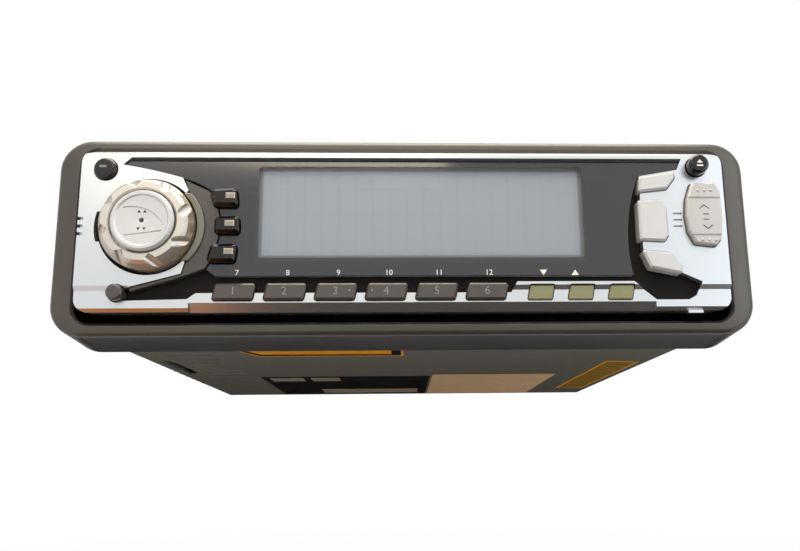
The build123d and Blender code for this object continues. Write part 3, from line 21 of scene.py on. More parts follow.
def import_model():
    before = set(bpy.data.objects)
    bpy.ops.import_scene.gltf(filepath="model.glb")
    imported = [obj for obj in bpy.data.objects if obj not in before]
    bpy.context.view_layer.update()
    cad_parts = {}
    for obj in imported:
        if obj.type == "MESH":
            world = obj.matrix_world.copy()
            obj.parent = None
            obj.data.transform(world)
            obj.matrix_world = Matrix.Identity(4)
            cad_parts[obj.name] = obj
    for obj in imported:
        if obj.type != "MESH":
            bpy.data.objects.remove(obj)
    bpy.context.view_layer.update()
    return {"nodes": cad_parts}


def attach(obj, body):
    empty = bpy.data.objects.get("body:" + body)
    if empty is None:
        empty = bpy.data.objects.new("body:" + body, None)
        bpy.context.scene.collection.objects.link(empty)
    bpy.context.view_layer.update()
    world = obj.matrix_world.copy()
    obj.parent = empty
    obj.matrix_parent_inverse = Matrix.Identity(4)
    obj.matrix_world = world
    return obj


LOG = logging.getLogger("car_cd_player")
MM = 0.001
PHOTO_WIDTH = 800
INK = 0.03
# Colour sockets of a Mix node go by number, because its socket names repeat.
MIX_UNDER = 6
MIX_OVER = 7
MIX_RESULT = 2
DISPLAY_BOX = (-38.8, 47.0, 18.4, 42.2)
FACE = "faceplate"
CHASSIS = "chassis"

Point = tuple[float, float]
Triple = tuple[float, float, float]
Box = tuple[float, float, float, float]


class Lay(Enum):
    """Which way a flat mark or plate faces."""

    FRONT = "front"
    UNDER = "under"


def metres(*values: float) -> tuple[float, ...]:
    """Turn millimetres to metres."""
    return tuple(value * MM for value in values)


def colour(code: str) -> tuple[float, float, float, float]:
    """Turn an sRGB hex colour to linear light.

    Args:
        code: Six hex digits.

    Returns:
        Linear red, green and blue, and an alpha of 1.
    """
    channels = []
    for start in (0, 2, 4):
        value = int(code[start : start + 2], 16) / 255
        channels.append(value / 12.92 if value <= 0.04045 else ((value + 0.055) / 1.055) ** 2.4)
    return channels[0], channels[1], channels[2], 1.0


def rectangle(left: float, right: float, bottom: float, top: float) -> list[Point]:
    """Corners of a rectangle, one after the other."""
    return [(left, bottom), (right, bottom), (right, top), (left, top)]


def centred(width: float, height: float) -> list[Point]:
    """Corners of a rectangle round its middle."""
    return rectangle(-width / 2, width / 2, -height / 2, height / 2)


def raised(shape: bmesh.types.BMesh, depth: float) -> list[bmesh.types.BMVert]:
    """Give a flat drawing its depth in millimetres.

    Args:
        shape: The drawing, all its faces flat and facing up.
        depth: How far its faces are drawn out.

    Returns:
        The vertices of the raised front.
    """
    grown = bmesh.ops.extrude_face_region(shape, geom=shape.faces[:])
    lifted = [item for item in grown["geom"] if isinstance(item, bmesh.types.BMVert)]
    bmesh.ops.translate(shape, verts=lifted, vec=metres(0, 0, depth))
    return lifted


def new_object(name: str, data: Any) -> bpy.types.Object:
    """Put a new object into the scene.

    Args:
        name: Its name.
        data: Its mesh, light, camera or curve.

    Returns:
        The new object.
    """
    holder = bpy.data.objects.new(name, data)
    bpy.context.scene.collection.objects.link(holder)
    return holder


def new_mesh(name: str, shape: bmesh.types.BMesh) -> bpy.types.Mesh:
    """Store a built shape.

    Args:
        name: Name of the mesh.
        shape: The shape, in metres. It is freed.

    Returns:
        The new mesh.
    """
    data = bpy.data.meshes.new(name)
    shape.to_mesh(data)
    shape.free()
    return data


def new_material(name: str) -> tuple[bpy.types.Material, bpy.types.NodeTree]:
    """Start a material.

    Args:
        name: Its name.

    Returns:
        The material and its empty node tree.
    """
    material = bpy.data.materials.new(name)
    material.use_nodes = True
    material.node_tree.nodes.clear()
    return material, material.node_tree


def add_node(
    tree: bpy.types.NodeTree, kind: str, inputs: dict[Any, Any] | None = None, **settings: Any
) -> Any:
    """Add a node with its settings, plain values and links.

    Args:
        tree: Node tree that gets the node.
        kind: Blender's node type.
        inputs: Value or source socket for each input, by its name or index.
        settings: Properties of the node.

    Returns:
        The new node.
    """
    node = tree.nodes.new(kind)
    for name, value in settings.items():
        setattr(node, name, value)
    for key, value in (inputs or {}).items():
        if isinstance(value, bpy.types.NodeSocket):
            tree.links.new(value, node.inputs[key])
        else:
            node.inputs[key].default_value = value
    return node


def rectangle_distance(
    tree: bpy.types.NodeTree, left: float, right: float, bottom: float, top: float, corner: float = 0.0
) -> Any:
    """Distance in millimetres from a rectangle of the front view, below zero inside it.

    Args:
        tree: Material's node tree.
        left: Lowest X.
        right: Highest X.
        bottom: Lowest Z.
        top: Highest Z.
        corner: Radius of its corners.

    Returns:
        Output socket with the distance.
    """
    middle = metres((left + right) / 2, 0, (bottom + top) / 2)
    half = ((right - left) / 2 - corner, 1.0, (top - bottom) / 2 - corner)
    reach = add_node(tree, "ShaderNodeTexCoord").outputs["Object"]
    for operation, operand in (
        ("SUBTRACT", middle),
        ("MULTIPLY", (1 / MM, 0, 1 / MM)),
        ("ABSOLUTE", (0, 0, 0)),
        ("SUBTRACT", half),
    ):
        reach = add_node(
            tree, "ShaderNodeVectorMath", {0: reach, 1: operand}, operation=operation
        ).outputs["Vector"]
    beyond = add_node(tree, "ShaderNodeVectorMath", {0: reach, 1: (0, 0, 0)}, operation="MAXIMUM")
    outer = add_node(tree, "ShaderNodeVectorMath", {0: beyond.outputs["Vector"]}, operation="LENGTH")
    split = add_node(tree, "ShaderNodeSeparateXYZ", {"Vector": reach})
    distance = split.outputs["X"]
    for operation, operand in (
        ("MAXIMUM", split.outputs["Z"]),
        ("MINIMUM", 0.0),
        ("ADD", outer.outputs["Value"]),
        ("SUBTRACT", corner),
    ):
        distance = add_node(
            tree, "ShaderNodeMath", {0: distance, 1: operand}, operation=operation
        ).outputs["Value"]
    return distance


def inside(tree: bpy.types.NodeTree, distance: Any, growth: float, soft: float) -> Any:
    """Mask that is 1 within an outline.

    Args:
        tree: Material's node tree.
        distance: Distance from the outline in millimetres, below zero inside it.
        growth: How far the mask reaches past the outline.
        soft: Width of its soft edge.

    Returns:
        Output socket with the mask.
    """
    return add_node(
        tree,
        "ShaderNodeMapRange",
        {"Value": distance, "From Min": growth + soft / 2, "From Max": growth - soft / 2},
    ).outputs["Result"]


def coordinate(tree: bpy.types.NodeTree, axis: str) -> Any:
    """Output socket with one object coordinate of the point, in metres."""
    place = add_node(tree, "ShaderNodeTexCoord")
    return add_node(tree, "ShaderNodeSeparateXYZ", {"Vector": place.outputs["Object"]}).outputs[axis]


def shown(tree: bpy.types.NodeTree) -> Any:
    """Mask that is 1 for rays that show a background: to the eye, through glass and in mirrors.

    Args:
        tree: Node tree of a material or the world.

    Returns:
        Output socket with the mask.
    """
    path = add_node(tree, "ShaderNodeLightPath")
    seen = path.outputs["Is Camera Ray"]
    for rays in ("Is Transmission Ray", "Is Glossy Ray"):
        seen = add_node(
            tree, "ShaderNodeMath", {0: seen, 1: path.outputs[rays]}, operation="MAXIMUM"
        ).outputs["Value"]
    return seen


@dataclass(frozen=True)
class Finish:
    """A surface as it was made: its colour, the way it mottles, its gloss, its grain and its worn edges.

    The grain is a bump of the real size in millimetres, the mottle is the slight change of tone and gloss
    that handling and moulding leave, and the wear is the tone that shows where edges have been rubbed.
    """

    name: str
    tone: str
    shade: str
    roughness: float
    gloss_spread: float = 0.05
    mottle_mm: float = 24.0
    grain_mm: float = 0.4
    grain_depth_mm: float = 0.01
    metallic: float = 0.0
    coat: float = 0.0
    coat_roughness: float = 0.08
    ior: float = 1.5
    specular: float = 0.5
    stretch: Triple = (1.0, 1.0, 1.0)
    wear: str = ""
    wear_mm: float = 0.35
    flat_match: float = 0.99
    edge_match: float = 0.8
    noise_span: Point = (0.3, 0.7)
    sleekest: float = 0.02

    def pattern(self, tree: bpy.types.NodeTree, size_mm: float, stretch: Triple = (1.0, 1.0, 1.0)) -> Any:
        """Object coordinates scaled so that one unit is a feature of the pattern.

        Args:
            tree: Material's node tree.
            size_mm: Real size of one feature.
            stretch: How many times longer a feature is along each axis.

        Returns:
            Output socket with the coordinates.
        """
        place = add_node(tree, "ShaderNodeTexCoord")
        scale = tuple(1 / (size_mm * MM * axis) for axis in stretch)
        return add_node(
            tree, "ShaderNodeMapping", {"Vector": place.outputs["Object"], "Scale": scale}
        ).outputs["Vector"]

    def mottle(self, tree: bpy.types.NodeTree) -> Any:
        """Slow noise of handling and moulding.

        Args:
            tree: Material's node tree.

        Returns:
            Output socket with the noise, between 0 and 1.
        """
        noise = add_node(
            tree,
            "ShaderNodeTexNoise",
            {"Vector": self.pattern(tree, self.mottle_mm, self.stretch), "Scale": 1.0, "Detail": 4.0},
        )
        return noise.outputs["Fac"]

    def grain(self, tree: bpy.types.NodeTree) -> Any:
        """Fine grain of the surface.

        Args:
            tree: Material's node tree.

        Returns:
            Output socket with its height, between 0 and 1.
        """
        noise = add_node(
            tree,
            "ShaderNodeTexNoise",
            {"Vector": self.pattern(tree, self.grain_mm, self.stretch), "Scale": 1.0, "Detail": 2.0},
        )
        return noise.outputs["Fac"]

    def ground(self, tree: bpy.types.NodeTree) -> Any:
        """Colour that lies under all layers."""
        return colour(self.tone)

    def layers(self, tree: bpy.types.NodeTree, mottle: Any) -> list[tuple[Any, Any]]:
        """Share and colour of each layer over the ground: here the shade, by the mottle."""
        return [(mottle, colour(self.shade))]

    def opacity(self, tree: bpy.types.NodeTree) -> Any:
        """How much of the light the surface stops: all of it, unless a finish says otherwise."""
        return 1.0

    def rubbed(self, tree: bpy.types.NodeTree, mottle: Any) -> Any:
        """Share of wear: 1 on a sharp edge, 0 on a flat, and patchy in between.

        Args:
            tree: Material's node tree.
            mottle: The slow noise that breaks the wear up.

        Returns:
            Output socket with the share.
        """
        rounded = add_node(tree, "ShaderNodeBevel", {"Radius": self.wear_mm * MM}, samples=4)
        flat = add_node(tree, "ShaderNodeNewGeometry")
        match = add_node(
            tree,
            "ShaderNodeVectorMath",
            {0: rounded.outputs["Normal"], 1: flat.outputs["Normal"]},
            operation="DOT_PRODUCT",
        )
        edge = add_node(
            tree,
            "ShaderNodeMapRange",
            {"Value": match.outputs["Value"], "From Min": self.flat_match, "From Max": self.edge_match},
        )
        return add_node(
            tree, "ShaderNodeMath", {0: edge.outputs["Result"], 1: mottle}, operation="MULTIPLY"
        ).outputs["Value"]

    def build(self) -> bpy.types.Material:
        """Make the material.

        Returns:
            The finished material.
        """
        material, tree = new_material(self.name)
        mottle = self.mottle(tree)
        layers = self.layers(tree, mottle)
        if self.wear:
            layers.append((self.rubbed(tree, mottle), colour(self.wear)))
        tint = self.ground(tree)
        for share, tone in layers:
            tint = add_node(
                tree,
                "ShaderNodeMix",
                {0: share, MIX_UNDER: tint, MIX_OVER: tone},
                data_type="RGBA",
            ).outputs[MIX_RESULT]
        calm, lively = self.noise_span
        gloss = add_node(
            tree,
            "ShaderNodeMapRange",
            {
                "Value": mottle,
                "From Min": calm,
                "From Max": lively,
                "To Min": max(self.roughness - self.gloss_spread, self.sleekest),
                "To Max": min(self.roughness + self.gloss_spread, 1.0),
            },
        )
        bump = add_node(
            tree,
            "ShaderNodeBump",
            {"Height": self.grain(tree), "Strength": 1.0, "Distance": self.grain_depth_mm * MM},
        )
        shader = add_node(
            tree,
            "ShaderNodeBsdfPrincipled",
            {
                "Base Color": tint,
                "Metallic": self.metallic,
                "Roughness": gloss.outputs["Result"],
                "IOR": self.ior,
                "Alpha": self.opacity(tree),
                "Specular IOR Level": self.specular,
                "Coat Weight": self.coat,
                "Coat Roughness": self.coat_roughness,
                "Normal": bump.outputs["Normal"],
            },
        )
        add_node(tree, "ShaderNodeOutputMaterial", {"Surface": shader.outputs["BSDF"]})
        return material


@dataclass(frozen=True)
class Spangled(Finish):
    """Hot-dip zinc on sheet steel: crystals of slightly different grey, with painted shade on the sheet's
    underside, coloured darker and browner.
    """

    spangle_mm: float = 3.5
    # Painted shade: a darker brown grey below this height, laid over the zinc at this share.
    dulled: str = "66625a"
    dulled_below: float = 0.1
    dulling: float = 0.75

    def layers(self, tree: bpy.types.NodeTree, mottle: Any) -> list[tuple[Any, Any]]:
        """Crystals over the slow stain of the sheet, and painted shade on its underside.

        Args:
            tree: Material's node tree.
            mottle: The slow noise that stains the sheet.

        Returns:
            Share and colour of each layer.
        """
        cells = add_node(
            tree,
            "ShaderNodeTexVoronoi",
            {"Vector": self.pattern(tree, self.spangle_mm), "Scale": 1.0, "Randomness": 1.0},
        )
        grey = add_node(tree, "ShaderNodeRGBToBW", {"Color": cells.outputs["Color"]})
        crystals = add_node(
            tree, "ShaderNodeMath", {0: grey.outputs["Val"], 1: mottle}, operation="MULTIPLY"
        )
        # Painted shade: the sheet's underside is coloured darker.
        below = add_node(
            tree,
            "ShaderNodeMath",
            {0: coordinate(tree, "Z"), 1: self.dulled_below * MM},
            operation="LESS_THAN",
        )
        sheet_shade_mask = add_node(
            tree, "ShaderNodeMath", {0: below.outputs["Value"], 1: self.dulling}, operation="MULTIPLY"
        )
        return [
            (crystals.outputs["Value"], colour(self.shade)),
            (sheet_shade_mask.outputs["Value"], colour(self.dulled)),
        ]


@dataclass(frozen=True)
class Flaked(Finish):
    """Metallic paint: aluminium flakes of a few tenths of a millimetre under clear lacquer."""

    flake_mm: float = 0.25

    def grain(self, tree: bpy.types.NodeTree) -> Any:
        """Flakes, each one level.

        Args:
            tree: Material's node tree.

        Returns:
            Output socket with their height.
        """
        cells = add_node(
            tree,
            "ShaderNodeTexVoronoi",
            {"Vector": self.pattern(tree, self.flake_mm), "Scale": 1.0},
        )
        return add_node(tree, "ShaderNodeRGBToBW", {"Color": cells.outputs["Color"]}).outputs["Val"]


@dataclass(frozen=True)
class Lipped(Finish):
    """Moulded rim round an opening, its front swelling gently outwards, with painted shade: near black at the
    bevel of the opening and darker towards its underside.
    """

    # Painted shade: colours of the near-black bevel at the opening and of the darker underside, and where each
    # lies.
    lip: str = "0d0b0a"
    base: str = "15120f"
    base_span: Point = (-4.4, -2.2)
    opening: Box = (-87.5, 87.5, 0.3, 48.1)
    corner: float = 4.0
    lip_width: float = 0.75
    lip_soft: float = 0.2
    rim_width: float = 6.0
    crown_mm: float = 1.3

    def reach(self, tree: bpy.types.NodeTree) -> Any:
        """Distance in millimetres outwards from the opening."""
        return rectangle_distance(tree, *self.opening, self.corner)

    def layers(self, tree: bpy.types.NodeTree, mottle: Any) -> list[tuple[Any, Any]]:
        """The plastic, with painted shade over it: darker towards the underside and near black within the
        bevel at the opening.

        Args:
            tree: Material's node tree.
            mottle: The slow noise of the plastic.

        Returns:
            Share and colour of each layer.
        """
        # Painted shade: darker towards the underside, by height.
        low, high = metres(*self.base_span)
        underside_shade_mask = add_node(
            tree,
            "ShaderNodeMapRange",
            {
                "Value": coordinate(tree, "Z"),
                "From Min": low,
                "From Max": high,
                "To Min": 1.0,
                "To Max": 0.0,
            },
            interpolation_type="SMOOTHSTEP",
        )
        # Painted shade: near black within the bevel's width of the opening.
        lip_shade_mask = inside(tree, self.reach(tree), self.lip_width, self.lip_soft)
        return super().layers(tree, mottle) + [
            (underside_shade_mask.outputs["Result"], colour(self.base)),
            (lip_shade_mask, colour(self.lip)),
        ]

    def grain(self, tree: bpy.types.NodeTree) -> Any:
        """Grain on top of the crown, which falls off as the square of the distance.

        Args:
            tree: Material's node tree.

        Returns:
            Output socket with its height.
        """
        share = add_node(
            tree, "ShaderNodeMath", {0: self.reach(tree), 1: 1 / self.rim_width}, operation="MULTIPLY"
        ).outputs["Value"]
        fall = add_node(tree, "ShaderNodeMath", {0: share, 1: 2.0}, operation="POWER").outputs["Value"]
        return add_node(
            tree,
            "ShaderNodeMath",
            {0: fall, 1: -self.crown_mm / self.grain_depth_mm, 2: super().grain(tree)},
            operation="MULTIPLY_ADD",
        ).outputs["Value"]


@dataclass(frozen=True)
class Ringed(Flaked):
    """Metallic paint of a turned knob, with a painted reflection: tinted tan towards its outer edge."""

    # Painted reflection: the tan that stands in for brown reflections round the knob's edge.
    flank: str = "b6a48e"
    centre: Point = (-68.3, 25.9)
    radii: Point = (10.4, 12.6)
    deepening: float = 0.9

    def layers(self, tree: bpy.types.NodeTree, mottle: Any) -> list[tuple[Any, Any]]:
        """The paint, and over it a painted reflection in tan, by the distance from the knob's middle.

        Args:
            tree: Material's node tree.
            mottle: The slow noise of the paint.

        Returns:
            Share and colour of each layer.
        """
        middle_x, middle_z = self.centre
        reach = add_node(tree, "ShaderNodeTexCoord").outputs["Object"]
        for operation, operand in (("SUBTRACT", metres(middle_x, 0, middle_z)), ("MULTIPLY", (1, 0, 1))):
            reach = add_node(
                tree, "ShaderNodeVectorMath", {0: reach, 1: operand}, operation=operation
            ).outputs["Vector"]
        radius = add_node(tree, "ShaderNodeVectorMath", {0: reach}, operation="LENGTH")
        # Painted reflection: tan towards the outer edge of the knob.
        near, far = metres(*self.radii)
        share = add_node(
            tree,
            "ShaderNodeMapRange",
            {"Value": radius.outputs["Value"], "From Min": near, "From Max": far, "To Max": self.deepening},
            interpolation_type="SMOOTHSTEP",
        )
        return super().layers(tree, mottle) + [(share.outputs["Result"], colour(self.flank))]


@dataclass(frozen=True)
class Windowed(Finish):
    """Smoked acrylic pane, clear over the display, with a grey line printed round the window on its back."""

    window: Box = DISPLAY_BOX
    window_soft: float = 0.15
    line: str = "8f949a"
    line_mm: float = 0.9
    middle_y: float = -15.9
    clear: float = 0.12
    printed: float = 0.96

    def behind(self, tree: bpy.types.NodeTree) -> Any:
        """Mask that is 1 on the back of the pane and 0 on its front."""
        values = {0: coordinate(tree, "Y"), 1: self.middle_y * MM}
        return add_node(tree, "ShaderNodeMath", values, operation="GREATER_THAN").outputs["Value"]

    def layers(self, tree: bpy.types.NodeTree, mottle: Any) -> list[tuple[Any, Any]]:
        """Smoke on the front and the printed line on the back."""
        return super().layers(tree, mottle) + [(self.behind(tree), colour(self.line))]

    def opacity(self, tree: bpy.types.NodeTree) -> Any:
        """Nearly clear in the window, which the printed line narrows on the back.

        Args:
            tree: Material's node tree.

        Returns:
            Output socket with the share of light that the pane stops.
        """
        shares = []
        for growth, stopped in ((self.line_mm, self.printed), (0.0, 1.0)):
            opened = inside(tree, rectangle_distance(tree, *self.window), growth, self.window_soft)
            share = add_node(
                tree, "ShaderNodeMapRange", {"Value": opened, "To Min": stopped, "To Max": self.clear}
            )
            shares.append(share.outputs["Result"])
        front, back = shares
        return add_node(tree, "ShaderNodeMix", {0: self.behind(tree), 2: front, 3: back}).outputs[0]


@dataclass(frozen=True)
class Ghosted(Finish):
    """A switched-off display: pale liquid-crystal glass with barely seen segment blocks."""

    block_mm: Point = (4.6, 7.4)
    gap_mm: float = 0.35
    gap_soft: float = 0.6

    def ground(self, tree: bpy.types.NodeTree) -> Any:
        """Rows of blocks, with gaps a shade darker than the glass.

        Args:
            tree: Material's node tree.

        Returns:
            Output socket with the colour.
        """
        place = add_node(tree, "ShaderNodeTexCoord")
        turned = add_node(
            tree,
            "ShaderNodeMapping",
            {
                "Vector": place.outputs["Object"],
                "Rotation": (math.radians(90), 0, 0),
                "Scale": (1 / MM, 1 / MM, 1 / MM),
            },
        )
        blocks = add_node(
            tree,
            "ShaderNodeTexBrick",
            {
                "Vector": turned.outputs["Vector"],
                "Color1": colour(self.tone),
                "Color2": colour(self.tone),
                "Mortar": colour(self.shade),
                "Scale": 1.0,
                "Mortar Size": self.gap_mm,
                "Mortar Smooth": self.gap_soft,
                "Brick Width": self.block_mm[0],
                "Row Height": self.block_mm[1],
            },
            offset=0.0,
        )
        return blocks.outputs["Color"]


class Finishes:
    """Every finish of the object, made once and handed out by name."""

    # Fine-grained ABS with a slight sheen: a brown charcoal that lights up along its rounded edges.
    # Painted shade: the rim is near black at the bevel of its opening and darker towards its underside.
    RING = Lipped(
        "moulded_abs_satin_brown", "4a463f", "39362f", 0.36, 0.05, 46.0, 0.35, 0.012, specular=0.6,
        wear="6e675c", wear_mm=0.5,
    )
    # Silver metallic lacquer on ABS: bright and cool, it takes up the tone of whatever stands before it.
    SILVER = Flaked(
        "painted_abs_silver", "d6dadc", "c8cdd0", 0.3, 0.03, 60.0, 0.25, 0.004, metallic=0.9, coat=0.2,
        coat_roughness=0.15, wear="b9b9b6", wear_mm=0.2,
    )
    # Champagne metallic lacquer of the dial: warm silver, with a painted reflection in tan towards its outer
    # edge.
    CHAMPAGNE = Ringed(
        "painted_abs_champagne", "cfcbc4", "c2bdb4", 0.26, 0.03, 30.0, 0.25, 0.004, metallic=0.6, coat=0.5,
        wear="f0e8dc", wear_mm=0.3,
    )
    # Pearl paint of the pale buttons: flatter than the skin.
    PEARL = Flaked(
        "painted_abs_pearl", "cfd1d2", "c1c2c2", 0.38, 0.04, 20.0, 0.25, 0.003, metallic=0.3, coat=0.3,
        coat_roughness=0.15,
    )
    # Pearl paint again, a shade deeper than the pale buttons.
    ROCKER = Flaked(
        "painted_abs_pearl_deeper", "c5c5c3", "b2b0ad", 0.4, 0.04, 12.0, 0.25, 0.003, metallic=0.3, coat=0.2,
        coat_roughness=0.2,
    )
    # Polished acrylic printed dark on its back: deep grey, clear only over the display.
    SMOKED = Windowed(
        "polished_smoked_acrylic", "333338", "2d2d31", 0.12, 0.02, 60.0, 2.0, 0.001, coat=0.5,
        coat_roughness=0.06, ior=1.49,
    )
    # Gloss black ABS of the preset and round buttons, with painted reflection: it is coloured a brown grey
    # that stands in for the room it mirrors.
    PIANO = Finish(
        "gloss_abs_black_painted_reflection", "4c4743", "423d39", 0.16, 0.03, 16.0, 1.2, 0.002, coat=0.5,
        coat_roughness=0.08, wear="6a6258", wear_mm=0.2,
    )
    # Gloss black ABS of the side buttons: deeper and clearer than the presets.
    BLACK = Finish(
        "gloss_abs_black", "100e0d", "0b0a09", 0.12, 0.03, 16.0, 1.2, 0.002, coat=0.25, coat_roughness=0.05,
        specular=0.35, wear="3c3833", wear_mm=0.2,
    )
    # Charcoal lacquered panel round the dial.
    CHARCOAL = Finish(
        "lacquered_abs_charcoal", "46423d", "3b3834", 0.22, 0.04, 24.0, 0.6, 0.003, coat=0.4,
        coat_roughness=0.1,
    )
    # Tinted translucent acrylic: olive when unlit.
    OLIVE = Finish(
        "tinted_acrylic_olive", "8b8c66", "7a7b5a", 0.24, 0.04, 8.0, 0.8, 0.002, coat=0.3,
        coat_roughness=0.08,
    )
    # Pale green translucent acrylic of the light guide, dark behind its edge.
    GUIDE = Finish(
        "tinted_acrylic_grey_green", "77776a", "65655a", 0.24, 0.04, 8.0, 0.8, 0.002, coat=0.3,
        coat_roughness=0.08,
    )
    # Unlit liquid-crystal glass: pale blue-grey.
    DISPLAY = Ghosted("liquid_crystal_glass_unlit", "a6afba", "a1aab5", 0.35, 0.04, 50.0, 3.0, 0.001)
    # Matt dark ABS behind the skin: swallows the light of the gaps.
    DARK = Finish("moulded_abs_matt_dark", "171413", "100e0d", 0.6, 0.06, 20.0, 0.4, 0.01, specular=0.12)
    # Grey-printed mask of the display, seen through the lens.
    FRAME = Finish("printed_acrylic_grey", "8f949a", "868b91", 0.45, 0.04, 12.0, 0.5, 0.003)
    # Matt black ABS of the shell behind the face: fine spark-eroded grain.
    SHELL = Finish(
        "moulded_abs_eroded_black", "24211f", "1b1918", 0.5, 0.05, 24.0, 0.5, 0.02, specular=0.35,
        wear="4a4641",
    )
    # Hot-dip galvanised sheet: grey with spangle and a soft metal gleam, bright where its edges are cut.
    # Painted shade: its underside is coloured a darker brown grey.
    ZINC = Spangled(
        "galvanised_sheet", "8b8b85", "787872", 0.5, 0.06, 45.0, 0.9, 0.006, metallic=0.45, specular=0.15,
        wear="b4b3ab", wear_mm=0.3,
    )
    # Mill-finish aluminium extrusion: drawn lines run along the fins.
    EXTRUDED = Finish(
        "extruded_aluminium", "8f8a81", "78736b", 0.42, 0.06, 30.0, 0.3, 0.008, metallic=0.9,
        stretch=(1.0, 40.0, 1.0), wear="b9b5ab", wear_mm=0.3,
    )
    # Bright nickel plating on turned steel.
    NICKEL = Finish("nickel_plated_steel", "c9c6be", "b5b1a8", 0.2, 0.05, 6.0, 0.3, 0.003, metallic=1.0)
    # Zinc-plated motor can with a drawn skin.
    CAN = Finish("plated_motor_can", "a8a8a6", "8f8f8d", 0.3, 0.06, 10.0, 0.4, 0.004, metallic=1.0)
    # Solder mask over glass fibre.
    MASK = Finish("solder_mask_green", "1f5137", "17402b", 0.3, 0.06, 8.0, 0.5, 0.01, coat=0.4)
    # Moulded nylon of sockets and drive parts.
    NYLON = Finish("moulded_nylon_black", "232221", "191817", 0.42, 0.06, 12.0, 0.5, 0.008, wear="45433f")
    # Nitrile rubber: dull, slightly brown.
    RUBBER = Finish("nitrile_rubber", "262421", "1c1a18", 0.75, 0.06, 6.0, 0.5, 0.02)
    # White, grey, champagne and black pad-printing ink: thin and slightly uneven.
    WHITE_INK = Finish("pad_print_white", "f2f0ea", "e8e6e0", 0.4, 0.04, 3.0, 0.3, 0.002)
    GREY_INK = Finish("pad_print_grey", "8b8882", "7d7a74", 0.4, 0.04, 3.0, 0.3, 0.002)
    GOLD_INK = Finish("pad_print_champagne", "c4b69c", "b3a48a", 0.3, 0.04, 3.0, 0.3, 0.002, metallic=0.4)
    BLACK_INK = Finish("pad_print_black", "2f2c29", "262422", 0.4, 0.04, 3.0, 0.3, 0.002)
    # Unlit light windows in the side buttons: frosted grey.
    WINDOW = Finish("frosted_diffuser_grey", "94928e", "85837e", 0.35, 0.04, 3.0, 0.3, 0.002)
    # Coated label stock, blank: a slight gloss over flat paper colour.
    AMBER_LABEL = Finish("coated_paper_amber", "d99516", "c4820c", 0.6, 0.06, 14.0, 0.6, 0.004, specular=0.05)
    OCHRE_LABEL = Finish("coated_paper_ochre", "86671f", "735713", 0.6, 0.08, 10.0, 0.6, 0.004, specular=0.05)
    DARK_LABEL = Finish("coated_paper_black", "161310", "100e0c", 0.55, 0.06, 14.0, 0.6, 0.004, specular=0.05)
    BEIGE_LABEL = Finish("coated_paper_beige", "c4a583", "b09270", 0.6, 0.06, 14.0, 0.6, 0.004, specular=0.05)
    PALE_LABEL = Finish("coated_paper_grey", "8d7f6e", "7a6d5e", 0.55, 0.06, 14.0, 0.6, 0.004, specular=0.15)

    def __init__(self) -> None:
        """Start with no material made."""
        self._made: dict[str, bpy.types.Material] = {}

    def get(self, finish: Finish) -> bpy.types.Material:
        """Hand out a finish's material, and make it the first time."""
        if finish.name not in self._made:
            self._made[finish.name] = finish.build()
        return self._made[finish.name]


